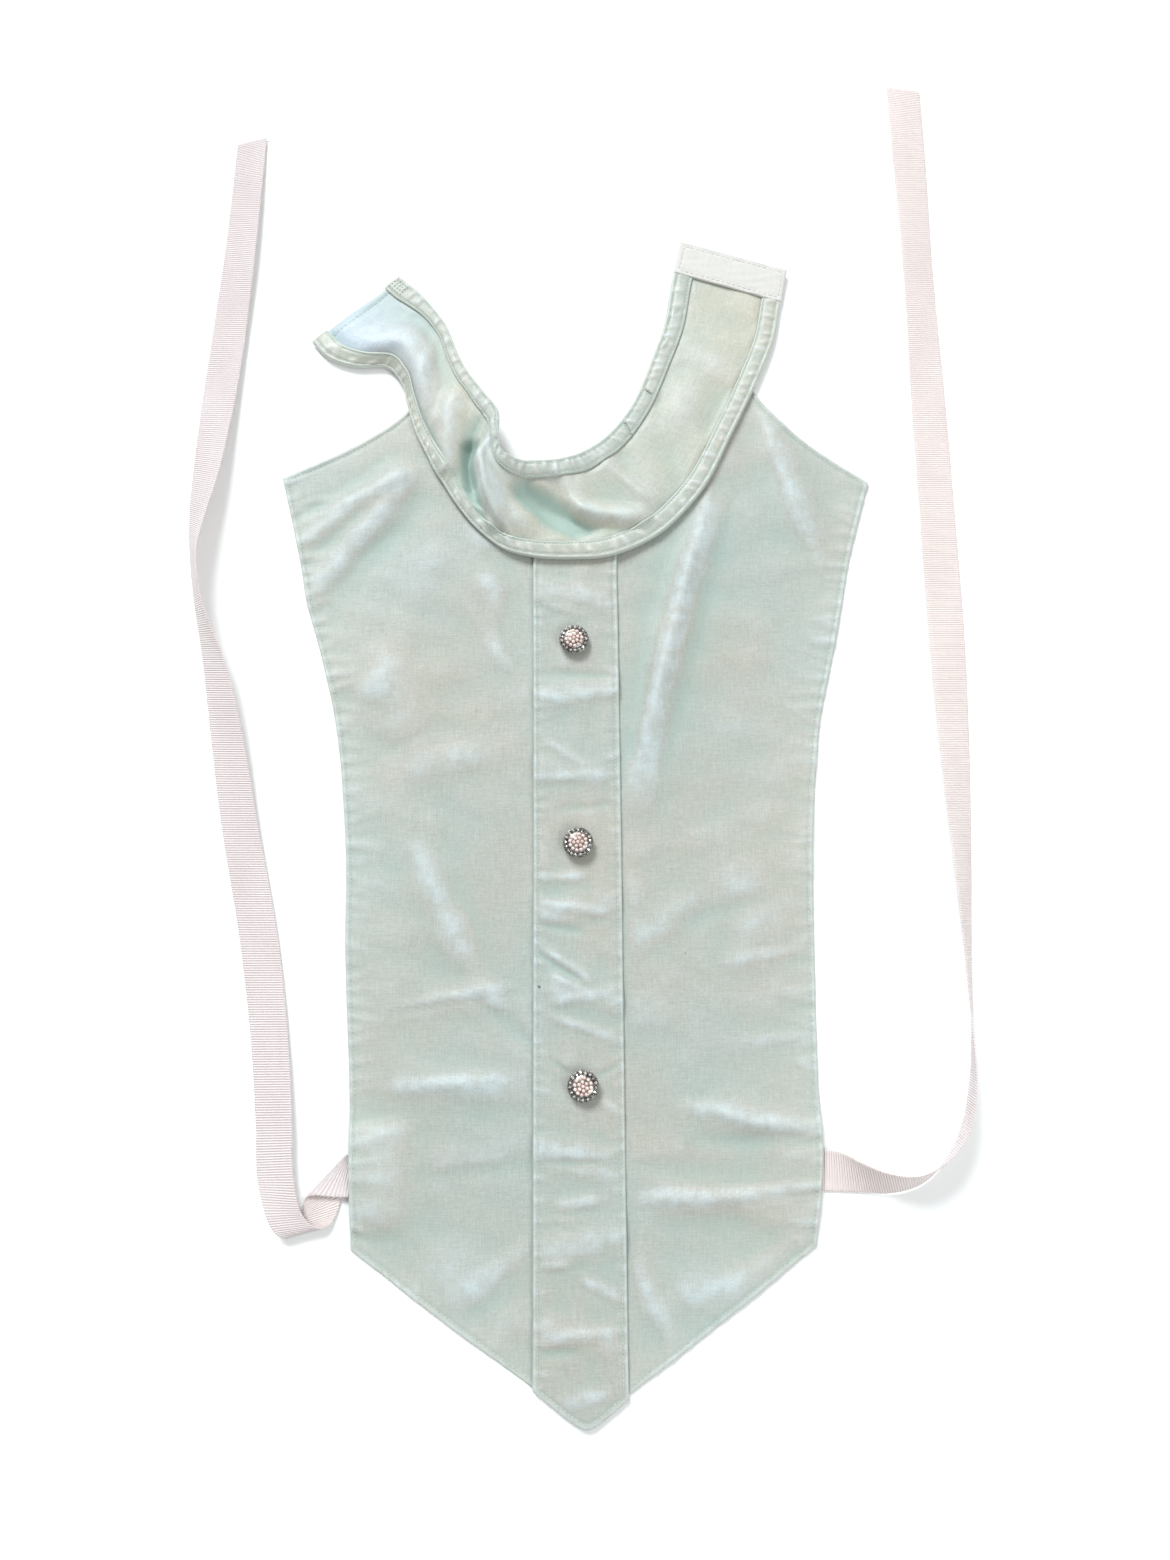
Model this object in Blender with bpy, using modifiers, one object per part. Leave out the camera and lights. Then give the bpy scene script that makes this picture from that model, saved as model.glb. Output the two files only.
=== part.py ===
"""A dickey laid flat with its collar open, in metres, +Z up.

The origin is on the underside of the front, on the centre line, 99 mm below the
collar's outer edge. +Y runs from the pointed foot to the neck, and +X is the right
as seen from above. The tables below are in millimetres.
"""
import math

import bmesh
import bpy
import numpy as np
from mathutils import Vector

MM = 0.001
COLLECTION = "dickey"

# Cloth
CLOTH_WALL = 1.0
SEAM_GAP = 0.3
RIBBON_WALL = 1.0

# Front panel
BODY_CELLS = 38
YOKE_CELLS = 11
HALF_CELLS = 13
NECK_SAMPLES = 400
NECK_POINTS = 60
NECK_ALLOWANCE = 7.0
RIGHT_JOIN_BACK = 5.0
HEM_BOW = 1.0
HEM_REACH = 60.0
LEFT_SHOULDER = (5.1, 0.66)
RIGHT_SHOULDER = (6.3, 0.72)
PLACKET_FLAT = (23.0, 36.0)
COLLAR_FLAT = (8.5, 25.0)

# Collar
BAND_WIDTH = 48.0
BINDING_WIDTH = 8.5
COLLAR_CELL = 4.2
COLLAR_STEP = 0.4
BAND_COLUMNS = 6
TAPE_COLUMNS = 8
CREST_REACH = 0.3
CREST_NECK_REACH = 0.46
TAPE_WIDTH = 16.5

# Placket
PLACKET_CELLS = 36
PLACKET_COLUMNS = (0.0, 0.12, 0.28, 0.44, 0.56, 0.62, 0.72, 0.86, 1.0)
PLACKET_TOP = 102.6
TIP_X = 0.0
TIP_Y = -254.7
TIP_SLOPE = 0.79
TIP_ROUND = 3.3

# Ties
RIBBON_CELL = 11.0
LEFT_SEAT = 2.8
RIGHT_SEAT = 1.45
SEAT_DEPTH = (12.0, 26.0)
SEAT_REACH = (11.0, 22.0)
SEAT_Y = -160.3

# Buttons
BUTTON_STEPS = 24
BUTTON_BASE = 2.6

# Height of the centre line, then the side edge on the left and on the right
BODY_ROWS = (
    # name, centre_y, left_x, left_y, right_x, right_y
    ("hem", -253.6, -92.3, -188.0, 92.0, -189.6),
    ("tie", -205.0, -93.3, -155.0, 96.0, -157.5),
    ("skirt", -150.0, -94.3, -120.5, 96.1, -122.5),
    ("low_waist", -88.0, -96.7, -74.3, 97.4, -77.7),
    ("waist", -30.0, -97.8, -24.2, 99.3, -27.7),
    ("high_waist", 25.0, -102.6, 23.0, 105.0, 21.5),
    ("chest", 70.0, -109.6, 54.9, 112.4, 52.5),
    ("neck_foot", 105.8, -117.0, 80.5, 118.5, 79.0),
)

# Share of the way up the neckline, then the side edge up to the shoulder
YOKE_ROWS = (
    # name, share, left_x, left_y, right_x, right_y
    ("neck_foot", 0.0, -117.0, 80.5, 118.5, 79.0),
    ("armhole", 0.35, -121.0, 103.0, 122.8, 98.5),
    ("yoke", 0.7, -125.6, 123.5, 128.4, 118.0),
    ("shoulder", 1.0, -129.4, 140.0, 133.2, 133.0),
)

# Folds that lift the front off the surface
FRONT_FOLDS = (
    # name, start_x, start_y, end_x, end_y, half_width, height
    ("right_long", 63.0, 134.0, 24.0, -6.0, 10.0, 4.2),
    ("right_yoke", 90.0, 162.0, 106.0, 108.0, 12.0, 2.6),
    ("right_waist", 62.0, -30.0, 74.0, -78.0, 24.0, 1.8),
    ("right_low", 50.0, -136.0, 92.0, -145.0, 10.0, 2.2),
    ("right_foot", 27.0, -170.5, 88.0, -172.0, 10.0, 2.4),
    ("right_hem", 40.0, -208.0, 62.0, -200.0, 14.0, 1.5),
    ("left_yoke_high", -66.0, 147.0, -118.0, 111.0, 9.5, 3.2),
    ("left_yoke_low", -70.0, 138.0, -113.0, 88.0, 9.5, 2.6),
    ("left_neck", -47.0, 112.0, -28.0, 64.0, 11.0, 2.2),
    ("left_chest", -88.0, 58.0, -70.0, 24.0, 20.0, 1.8),
    ("left_waist", -67.0, -30.0, -41.0, -86.0, 11.0, 2.0),
    ("left_crease", -62.0, -92.0, -30.0, -88.0, 9.0, 1.4),
    ("left_low", -74.0, -124.0, -34.0, -126.0, 10.0, 2.0),
    ("left_hem", -62.0, -190.0, -36.0, -208.0, 14.0, 1.5),
)

# The collar from its right end, round the front, to its left end
COLLAR_ROWS = (
    # name, seam_x, seam_y, seam_z, neck_x, neck_y, neck_z, crest, rise
    ("right_end", 101.6, 238.6, 1.0, 52.9, 254.3, 1.0, 0.50, 0.0),
    ("right_tape", 97.3, 218.7, 1.0, 48.1, 234.4, 1.0, 0.50, 0.3),
    ("right_upper", 93.8, 202.9, 1.3, 43.7, 211.9, 1.2, 0.50, 0.6),
    ("right_join", 84.9, 181.8, 1.9, 37.2, 193.7, 1.6, 0.50, 0.8),
    ("right_side", 73.5, 158.4, 1.9, 28.9, 173.6, 2.2, 0.50, 0.6),
    ("right_turn", 55.7, 126.5, 1.9, 15.6, 155.9, 3.2, 0.50, 0.4),
    ("right_low", 36.5, 108.2, 2.1, 5.9, 148.6, 4.8, 0.50, 0.0),
    ("centre_right", 14.7, 99.0, 3.2, -2.6, 144.9, 6.2, 0.50, 0.0),
    ("centre", 1.0, 98.3, 3.2, -9.4, 143.2, 7.0, 0.50, 0.0),
    ("gather", -17.8, 99.6, 3.2, -18.6, 142.4, 8.2, 0.50, 0.0),
    ("left_low", -30.1, 103.7, 2.1, -25.6, 142.8, 9.6, 0.50, 0.0),
    ("fold_foot", -41.6, 113.1, 1.9, -31.0, 146.8, 10.4, 0.50, 0.0),
    ("pinch", -51.4, 125.6, 1.9, -31.6, 155.9, 12.0, 0.50, 0.0),
    ("fold_back", -57.2, 135.2, 1.9, -31.7, 165.6, 10.5, 0.45, 0.5),
    ("left_side", -64.0, 147.8, 1.9, -38.7, 176.9, 8.4, 0.40, 1.5),
    ("left_turn", -69.9, 160.5, 1.9, -45.2, 186.5, 7.0, 0.35, 3.0),
    ("left_join", -73.7, 174.2, 1.9, -50.3, 196.6, 6.0, 0.34, 5.0),
    ("roll_in", -76.1, 183.9, 1.4, -55.4, 210.8, 5.0, 0.32, 6.5),
    ("roll", -83.6, 192.7, 1.0, -62.0, 221.1, 4.0, 0.32, 7.0),
    ("roll_out", -99.1, 193.5, 1.0, -68.6, 229.5, 3.0, 0.31, 4.5),
    ("left_turned", -110.1, 197.7, 1.0, -72.9, 233.6, 2.4, 0.30, 2.0),
    ("left_end", -117.6, 205.8, 1.0, -77.6, 238.0, 2.0, 0.30, 0.6),
)

# Ridges and hollows of the collar's fold, left of its centre
COLLAR_FOLDS = (
    # name, start_x, start_y, end_x, end_y, half_width, height
    ("fold_ridge", -40.5, 143.0, -33.5, 117.0, 7.0, 3.4),
    ("fold_slope", -31.5, 139.0, -25.0, 118.0, 13.0, 2.6),
    ("fold_hollow", -44.5, 150.0, -43.5, 133.0, 6.0, -3.4),
    ("limb_ridge", -52.0, 174.0, -56.0, 144.0, 8.5, 2.2),
    ("long_hollow", -21.0, 128.0, 2.0, 113.5, 9.0, -3.0),
    ("front_ridge", 5.0, 119.5, 30.0, 117.5, 7.0, 2.8),
    ("turn_ridge", 17.0, 142.0, 33.0, 127.0, 9.0, 1.4),
)

# Ripples across the placket
PLACKET_FOLDS = (
    # name, start_x, start_y, end_x, end_y, half_width, height
    ("ripple_neck", -14.0, 84.0, 12.0, 80.0, 9.0, 0.9),
    ("ripple_chest", -10.0, 36.0, 16.0, 40.0, 10.0, 1.0),
    ("ripple_rib", -16.0, 6.0, 8.0, 2.0, 9.0, 0.8),
    ("ripple_waist", -12.0, -56.0, 14.0, -52.0, 9.0, 0.9),
    ("ripple_belly", -8.0, -88.0, 15.0, -92.0, 10.0, 1.1),
    ("ripple_low", -16.0, -152.0, 6.0, -156.0, 10.0, 1.0),
    ("ripple_hem", -12.0, -188.0, 14.0, -184.0, 11.0, 1.2),
    ("ripple_foot", -14.0, -218.0, 8.0, -222.0, 10.0, 1.0),
)

# Placket edges
PLACKET_ROWS = (
    # name, y, left_x, right_x
    ("foot", -256.0, -21.0, 16.3),
    ("button", -126.0, -19.6, 17.5),
    ("waist", -28.0, -18.5, 18.6),
    ("top", 104.0, -17.5, 19.6),
)

# Both edges of the left ribbon, from its sewn end round the fold to its free end
LEFT_TIE_ROWS = (
    # name, near_x, near_y, near_z, far_x, far_y, far_z
    ("sewn_end", -84.5, -151.6, 1.95, -84.5, -167.6, 1.95),
    ("hem", -93.3, -151.6, 1.95, -98.0, -167.6, 1.95),
    ("fold_above", -94.7, -151.7, 1.95, -109.4, -167.0, 1.95),
    ("fold", -95.6, -152.6, 1.2, -110.8, -168.0, 1.2),
    ("fold_below", -95.6, -154.2, 0.5, -111.2, -169.6, 0.5),
    ("turn_start", -97.2, -171.5, 0.5, -112.2, -176.0, 0.5),
    ("turn_low", -99.0, -176.0, 1.1, -113.8, -180.2, 1.2),
    ("turn_edge", -101.4, -178.6, 2.7, -117.2, -182.6, 2.9),
    ("turn_high", -105.4, -178.4, 4.3, -121.0, -180.6, 4.6),
    ("turn_end", -110.2, -174.4, 4.6, -124.6, -175.2, 4.6),
    ("turn_out", -112.9, -168.7, 4.4, -127.4, -167.7, 3.4),
    ("foot", -115.0, -158.6, 4.2, -129.8, -159.1, 1.6),
    ("low", -116.1, -140.8, 3.6, -131.3, -141.0, 0.5),
    ("low_flat", -118.4, -113.2, 2.2, -133.8, -113.1, 0.5),
    ("flat", -124.3, -68.0, 1.0, -140.3, -67.7, 0.5),
    ("waist", -134.9, -15.3, 2.4, -150.7, -14.7, 0.5),
    ("rise", -143.9, 32.4, 7.0, -158.3, 34.4, 0.5),
    ("lean", -148.6, 51.2, 9.6, -161.2, 54.1, 0.5),
    ("stand", -159.7, 81.8, 13.8, -166.8, 85.0, 0.5),
    ("stood", -162.2, 101.8, 13.7, -169.4, 105.0, 0.5),
    ("settle", -159.4, 122.0, 11.0, -170.4, 124.7, 0.5),
    ("settled", -156.2, 138.0, 8.6, -169.8, 140.2, 0.5),
    ("lying", -152.4, 166.8, 4.8, -167.8, 169.0, 0.5),
    ("bend", -148.6, 204.4, 2.6, -164.4, 205.4, 0.5),
    ("upper", -144.4, 261.5, 3.4, -158.9, 264.5, 0.8),
    ("free_end", -142.4, 314.6, 0.6, -156.2, 310.8, 0.5),
)

# Both edges of the right ribbon, from its sewn end to its free end
RIGHT_TIE_ROWS = (
    # name, near_x, near_y, near_z, far_x, far_y, far_z
    ("sewn_end", 85.0, -152.6, 0.5, 85.0, -168.6, 0.5),
    ("hem", 96.2, -152.8, 0.6, 95.2, -168.8, 0.5),
    ("out", 103.8, -154.0, 4.0, 104.9, -169.2, 0.5),
    ("lift", 109.8, -157.0, 8.6, 113.2, -169.7, 0.5),
    ("lean", 117.0, -160.2, 12.0, 121.2, -170.2, 0.5),
    ("stand", 130.6, -162.0, 15.0, 135.0, -166.9, 0.5),
    ("turn", 142.0, -156.6, 16.0, 145.4, -157.8, 0.5),
    ("turn_up", 150.6, -146.6, 16.2, 152.6, -145.6, 0.5),
    ("edge_low", 155.0, -130.2, 16.2, 157.2, -129.3, 0.5),
    ("edge", 155.6, -106.4, 15.7, 160.2, -106.7, 0.5),
    ("edge_high", 155.2, -75.0, 14.8, 162.4, -74.6, 0.5),
    ("fall", 154.5, -39.8, 12.2, 165.3, -38.5, 0.5),
    ("waist", 154.0, 11.4, 7.0, 168.5, 12.7, 0.5),
    ("flat", 154.4, 56.0, 2.7, 170.2, 56.4, 0.5),
    ("chest", 154.7, 123.7, 2.2, 170.5, 124.4, 0.5),
    ("neck", 154.6, 170.2, 2.8, 170.4, 171.0, 0.5),
    ("upper", 154.9, 238.0, 5.2, 169.6, 240.4, 0.5),
    ("high", 154.8, 293.8, 2.6, 170.4, 295.0, 0.5),
    ("free_end", 154.9, 336.6, 0.7, 170.4, 334.2, 0.5),
)

# Half section of a button, from its shank's foot to the crown
BUTTON_PROFILE = (
    # name, radius, height
    ("foot", 0.0, 0.0),
    ("shank_foot", 1.9, 0.0),
    ("shank_top", 1.9, 1.5),
    ("back", 5.2, 1.7),
    ("rim_low", 6.35, 2.3),
    ("rim_high", 6.35, 2.9),
    ("setting", 5.6, 3.7),
    ("shoulder", 4.2, 4.6),
    ("dome", 2.4, 5.2),
    ("crown", 0.0, 5.4),
)

# Where each button is sewn
BUTTONS = (
    # name, x, y
    ("button_top", 0.0, 61.0),
    ("button_middle", 0.3, -27.6),
    ("button_bottom", 0.7, -126.3),
)

# Colours, roughness and metallic value
LOOKS = {
    "cloth": ((0.60, 0.69, 0.63), 0.75, 0.0),
    "binding": ((0.64, 0.70, 0.60), 0.55, 0.0),
    "tape": ((0.72, 0.73, 0.68), 0.8, 0.0),
    "ribbon": ((0.89, 0.79, 0.77), 0.6, 0.0),
    "metal": ((0.36, 0.35, 0.34), 0.35, 0.9),
}


def columns(rows):
    """A table's numbers without its names."""
    return np.array([row[1:] for row in rows], dtype=float)


def smooth(knots, values, at):
    """Values on the smooth curve through a table's rows, at the stations asked for."""
    at = np.asarray(at, dtype=float)
    slopes = np.gradient(values, knots, axis=0)
    row = np.clip(np.searchsorted(knots, at, side="right") - 1, 0, len(knots) - 2)
    span = knots[row + 1] - knots[row]
    t = ((at - knots[row]) / span)[..., None]
    span = span[..., None]
    start = (2 * t**3 - 3 * t**2 + 1) * values[row] + (t**3 - 2 * t**2 + t) * span * slopes[row]
    end = (3 * t**2 - 2 * t**3) * values[row + 1] + (t**3 - t**2) * span * slopes[row + 1]
    return start + end


def ease(value, limits):
    """0 below the lower limit and 1 above the upper one, with a smooth rise between."""
    t = np.clip((value - limits[0]) / (limits[1] - limits[0]), 0.0, 1.0)
    return t * t * (3 - 2 * t)


def fold_height(x, y, folds):
    """Height that a table of folds adds at each point."""
    height = np.zeros(np.shape(x))
    for start_x, start_y, end_x, end_y, half_width, rise in columns(folds):
        run_x = end_x - start_x
        run_y = end_y - start_y
        along = ((x - start_x) * run_x + (y - start_y) * run_y) / (run_x**2 + run_y**2)
        along = np.clip(along, 0.0, 1.0)
        away = np.hypot(x - start_x - along * run_x, y - start_y - along * run_y)
        share = np.clip(away / half_width, 0.0, 1.0)
        height += rise * np.cos(share * math.pi / 2) ** 2
    return height


def knots_along(points):
    """Distance travelled along a row of points."""
    steps = np.linalg.norm(np.diff(points, axis=0), axis=1)
    return np.concatenate(([0.0], np.cumsum(steps)))


COLLAR_VALUES = columns(COLLAR_ROWS)
COLLAR_MIDDLE = (COLLAR_VALUES[:, 0:3] + COLLAR_VALUES[:, 3:6]) / 2
COLLAR_KNOTS = knots_along(COLLAR_MIDDLE)
COLLAR_LENGTH = COLLAR_KNOTS[-1]


def collar_middle(station, across):
    """Points of the collar's middle surface: across is 0 at the seam and 1 at the neck."""
    row = smooth(COLLAR_KNOTS, COLLAR_VALUES, station)
    across = np.asarray(across)[..., None]
    point = row[..., 0:3] * (1 - across) + row[..., 3:6] * across
    from_crest = across[..., 0] - row[..., 6]
    reach = np.where(from_crest > 0, CREST_NECK_REACH, CREST_REACH)
    away = np.clip(np.abs(from_crest) / reach, 0.0, 1.0)
    point[..., 2] += row[..., 7] * np.cos(away * math.pi / 2) ** 2
    point[..., 2] += fold_height(point[..., 0], point[..., 1], COLLAR_FOLDS)
    return point


def collar_point(station, across, out):
    """Points at a distance out from the collar's middle surface."""
    share = COLLAR_STEP / BAND_WIDTH
    station = np.asarray(station, dtype=float)
    across = np.asarray(across, dtype=float)
    ahead = collar_middle(np.minimum(station + COLLAR_STEP, COLLAR_LENGTH), across)
    behind = collar_middle(np.maximum(station - COLLAR_STEP, 0.0), across)
    inward = collar_middle(station, across + share)
    outward = collar_middle(station, across - share)
    normal = np.cross(inward - outward, ahead - behind)
    normal /= np.linalg.norm(normal, axis=-1, keepdims=True)
    return collar_middle(station, across) + normal * np.asarray(out)[..., None]


def station_where(name):
    """The station of a named row of the collar."""
    names = [row[0] for row in COLLAR_ROWS]
    return COLLAR_KNOTS[names.index(name)]


def neckline(side, shares):
    """The front's neck edge, under the collar, from the centre line up to one side."""
    across = NECK_ALLOWANCE / BAND_WIDTH
    right = station_where("right_join")
    left = station_where("left_join")
    top = right - RIGHT_JOIN_BACK if side > 0 else left
    stations = np.linspace(right, left, NECK_SAMPLES)
    x_there = collar_middle(stations, np.full(NECK_SAMPLES, across))[:, 0]
    centre = np.interp(0.0, -x_there, stations)
    points = collar_middle(centre + (top - centre) * shares, np.full(len(shares), across))
    return points[:, 0:2]


def front_half(side):
    """Grid of one half of the front's underside, from foot to shoulder, centre outwards."""
    body = columns(BODY_ROWS)
    yoke = columns(YOKE_ROWS)
    edge = slice(3, 5) if side > 0 else slice(1, 3)
    heights = np.linspace(body[0, 0], body[-1, 0], BODY_CELLS + 1)
    inner_body = np.stack([np.zeros(len(heights)), heights], axis=1)
    outer_body = smooth(body[:, 0], body[:, edge], heights)
    shares = np.linspace(0.0, 1.0, YOKE_CELLS + 1)[1:]
    inner_yoke = neckline(side, shares)
    outer_yoke = smooth(yoke[:, 0], yoke[:, edge], shares)
    inner = np.concatenate([inner_body, inner_yoke])
    outer = np.concatenate([outer_body, outer_yoke])
    rise = np.concatenate([np.zeros(len(heights)), shares])[:, None]
    across = np.linspace(0.0, 1.0, HALF_CELLS + 1)[None, :]
    grid = inner[:, None, :] * (1 - across[..., None]) + outer[:, None, :] * across[..., None]
    edge_run = outer[-1] - inner[-1]
    downward = np.array([edge_run[1], -edge_run[0]]) * side / np.linalg.norm(edge_run)
    depth, peak = RIGHT_SHOULDER if side > 0 else LEFT_SHOULDER
    sag = depth * np.sin(math.pi * across**peak) * rise**4
    grid = grid + sag[..., None] * downward
    from_hem = np.clip(1 - (inner[:, 1:2] - inner[0, 1]) / HEM_REACH, 0.0, 1.0)
    grid[..., 1] -= HEM_BOW * np.sin(math.pi * across) * from_hem
    width = np.linalg.norm(outer - inner, axis=1)[:, None]
    curve = neckline(side, np.linspace(0.0, 1.0, NECK_POINTS))
    from_collar = np.linalg.norm(grid[:, :, None, :] - curve, axis=3).min(axis=2)
    clear = ease(np.abs(grid[..., 0]), PLACKET_FLAT) * ease(from_collar, COLLAR_FLAT)
    height = fold_height(grid[..., 0], grid[..., 1], FRONT_FOLDS) * clear
    from_edge = (1 - across) * width
    seat = 1 - ease(np.abs(grid[..., 1] - SEAT_Y), SEAT_REACH)
    seat = seat * (1 - ease(from_edge, SEAT_DEPTH))
    lift = RIGHT_SEAT if side > 0 else LEFT_SEAT
    height = height * (1 - seat) + np.maximum(height, lift) * seat
    return np.concatenate([grid, height[..., None]], axis=2)


def look(name):
    """One material for each kind of stuff."""
    found = bpy.data.materials.get(name)
    if found is not None:
        return found
    colour, roughness, metallic = LOOKS[name]
    material = bpy.data.materials.new(name)
    material.use_nodes = True
    shader = material.node_tree.nodes["Principled BSDF"]
    shader.inputs["Base Color"].default_value = (*colour, 1.0)
    shader.inputs["Roughness"].default_value = roughness
    shader.inputs["Metallic"].default_value = metallic
    return material


def add_object(name, points, faces, stuff):
    """A named object from points in millimetres."""
    mesh = bpy.data.meshes.new(name)
    mesh.from_pydata([Vector(point) * MM for point in points], [], faces)
    mesh.update()
    piece = bpy.data.objects.new(name, mesh)
    piece.data.materials.append(look(stuff))
    bpy.data.collections[COLLECTION].objects.link(piece)
    return piece


def grid_faces(count, width, start=0, flip=False):
    """Faces between the rows of a grid of points."""
    faces = []
    for i in range(count - 1):
        for j in range(width - 1):
            a = start + i * width + j
            quad = (a, a + 1, a + width + 1, a + width)
            faces.append(quad[::-1] if flip else quad)
    return faces


def split_quads(faces, lean):
    """Each quad as two triangles, cut from its first corner, or its second when lean is 1."""
    halves = []
    for a, b, c, d in faces:
        if lean:
            halves += [(a, b, d), (b, c, d)]
        else:
            halves += [(a, b, c), (a, c, d)]
    return halves


def thicken(piece, wall, side):
    """Cloth thickness on one side of a sheet, or on both when side is 0."""
    solid = piece.modifiers.new("wall", "SOLIDIFY")
    solid.thickness = wall * MM
    solid.offset = side
    solid.use_even_offset = True


def wall_between(name, under, over, stuff):
    """A closed wall between an under grid and an over grid of the same size."""
    count, width = under.shape[0:2]
    points = np.concatenate([under.reshape(-1, 3), over.reshape(-1, 3)])
    total = count * width
    faces = grid_faces(count, width, 0, True) + grid_faces(count, width, total)
    rim = [j for j in range(width)]
    rim += [i * width + width - 1 for i in range(1, count)]
    rim += [(count - 1) * width + j for j in range(width - 2, -1, -1)]
    rim += [i * width for i in range(count - 2, 0, -1)]
    faces = split_quads(faces[: len(faces) // 2], 1) + split_quads(faces[len(faces) // 2 :], 0)
    for a, b in zip(rim, rim[1:] + rim[:1]):
        faces.append((a, b, b + total, a + total))
    return add_object(name, points, faces, stuff)


def face_out(piece):
    """Turn every face of a closed piece outwards."""
    shape = bmesh.new()
    shape.from_mesh(piece.data)
    bmesh.ops.recalc_face_normals(shape, faces=shape.faces)
    shape.to_mesh(piece.data)
    shape.free()


def build_front():
    """The bib panel: both halves share the points on the centre line."""
    right = front_half(1)
    left = front_half(-1)
    shared = BODY_CELLS + 1
    rows, width = right.shape[0:2]
    points = list(right.reshape(-1, 3))
    faces = grid_faces(rows, width)
    place = {}
    for i in range(rows):
        for j in range(width):
            if j == 0 and i < shared:
                place[i, j] = i * width
            else:
                place[i, j] = len(points)
                points.append(left[i, j])
    for i in range(rows - 1):
        for j in range(width - 1):
            corners = (place[i, j], place[i + 1, j], place[i + 1, j + 1], place[i, j + 1])
            faces.append(corners)
    piece = add_object("front", points, faces, "cloth")
    thicken(piece, CLOTH_WALL, 1.0)


def build_placket():
    """The strip down the front: its foot follows the point of the hem."""
    edges = columns(PLACKET_ROWS)
    across = np.array(PLACKET_COLUMNS)[None, :]
    foot_left, foot_right = edges[0, 1:3]
    foot_x = foot_left + (foot_right - foot_left) * across
    away = np.hypot(foot_x - TIP_X, TIP_ROUND) - TIP_ROUND
    foot_y = TIP_Y + TIP_SLOPE * away
    share = np.linspace(0.0, 1.0, PLACKET_CELLS + 1)[:, None]
    y = foot_y * (1 - share) + PLACKET_TOP * share
    left_right = smooth(edges[:, 0], edges[:, 1:3], y)
    x = left_right[..., 0] * (1 - across) + left_right[..., 1] * across
    height = CLOTH_WALL + SEAM_GAP + fold_height(x, y, PLACKET_FOLDS)
    under = np.stack([x, y, height], axis=2)
    over = under + np.array([0.0, 0.0, CLOTH_WALL])
    wall_between("placket", under, over, "cloth")


def collar_stations(first, last):
    """Stations a cell apart, from first to last."""
    return np.linspace(first, last, max(2, round((last - first) / COLLAR_CELL) + 1))


def build_collar_band():
    """The band: it stops a wall and a gap inside each binding's edge."""
    margin = (CLOTH_WALL + SEAM_GAP) / BAND_WIDTH
    tip = BINDING_WIDTH / BAND_WIDTH
    inner = np.linspace(tip, 1 - tip, BAND_COLUMNS)
    across = np.concatenate([[margin], inner, [1 - margin]])[None, :]
    tape = collar_stations(0.0, TAPE_WIDTH)
    rest = collar_stations(TAPE_WIDTH + SEAM_GAP, COLLAR_LENGTH)
    station = np.concatenate([tape, rest])[:, None]
    station, across = np.broadcast_arrays(station, across)
    half = np.full(station.shape, CLOTH_WALL / 2)
    under = collar_point(station, across, -half)
    over = collar_point(station, across, half)
    piece = wall_between("collar_band", under, over, "cloth")
    face_out(piece)


def build_binding(name, edge):
    """A strip on the band that turns down over one edge: edge is 0 at the seam, 1 at the neck."""
    inward = 1.0 - 2.0 * edge
    tip = edge + inward * BINDING_WIDTH / BAND_WIDTH
    leg = edge + inward * CLOTH_WALL / BAND_WIDTH
    low = -CLOTH_WALL / 2
    seat = CLOTH_WALL / 2 + SEAM_GAP
    top = seat + CLOTH_WALL
    profile = (
        # across, out
        (tip, top),
        (edge, top),
        (edge, low),
        (leg, low),
        (leg, seat),
        (tip, seat),
    )
    across = np.array([corner[0] for corner in profile])[None, :]
    out = np.array([corner[1] for corner in profile])[None, :]
    station = collar_stations(TAPE_WIDTH + SEAM_GAP, COLLAR_LENGTH)[:, None]
    station, across, out = np.broadcast_arrays(station, across, out)
    points = collar_point(station, across, out)
    count, size = station.shape
    leans = (0, 0, 0, 0, 1, 0) if edge else (1, 0, 0, 0, 0, 0)
    faces = []
    for i in range(count - 1):
        for j in range(size):
            k = (j + 1) % size
            quad = (i * size + j, i * size + k, (i + 1) * size + k, (i + 1) * size + j)
            faces += split_quads([quad], leans[j])
    for first in (0, (count - 1) * size):
        faces.append((first, first + 1, first + 4, first + 5))
        faces.append((first + 1, first + 2, first + 3, first + 4))
    piece = add_object(name, points.reshape(-1, 3), faces, "binding")
    face_out(piece)


def build_closure_tape():
    """Hook-and-loop tape across the right end of the band."""
    across = np.linspace(0.0, 1.0, TAPE_COLUMNS)[None, :]
    station = collar_stations(0.0, TAPE_WIDTH)[:, None]
    station, across = np.broadcast_arrays(station, across)
    seat = np.full(station.shape, CLOTH_WALL / 2 + SEAM_GAP)
    under = collar_point(station, across, seat)
    over = collar_point(station, across, seat + CLOTH_WALL)
    piece = wall_between("closure_tape", under, over, "tape")
    face_out(piece)


def build_tie(name, rows):
    """A ribbon through both of its edges."""
    values = columns(rows)
    knots = knots_along((values[:, 0:3] + values[:, 3:6]) / 2)
    stations = [0.0]
    for first, last in zip(knots, knots[1:]):
        parts = max(2, math.ceil((last - first) / RIBBON_CELL))
        stations += list(np.linspace(first, last, parts + 1)[1:])
    edges = smooth(knots, values, np.array(stations))
    edges[:, [2, 5]] = np.maximum(edges[:, [2, 5]], RIBBON_WALL / 2)
    across = np.array([0.0, 0.5, 1.0])[None, :, None]
    grid = edges[:, None, 0:3] * (1 - across) + edges[:, None, 3:6] * across
    count, width = grid.shape[0:2]
    piece = add_object(name, grid.reshape(-1, 3), grid_faces(count, width), "ribbon")
    thicken(piece, RIBBON_WALL, 0.0)


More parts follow.
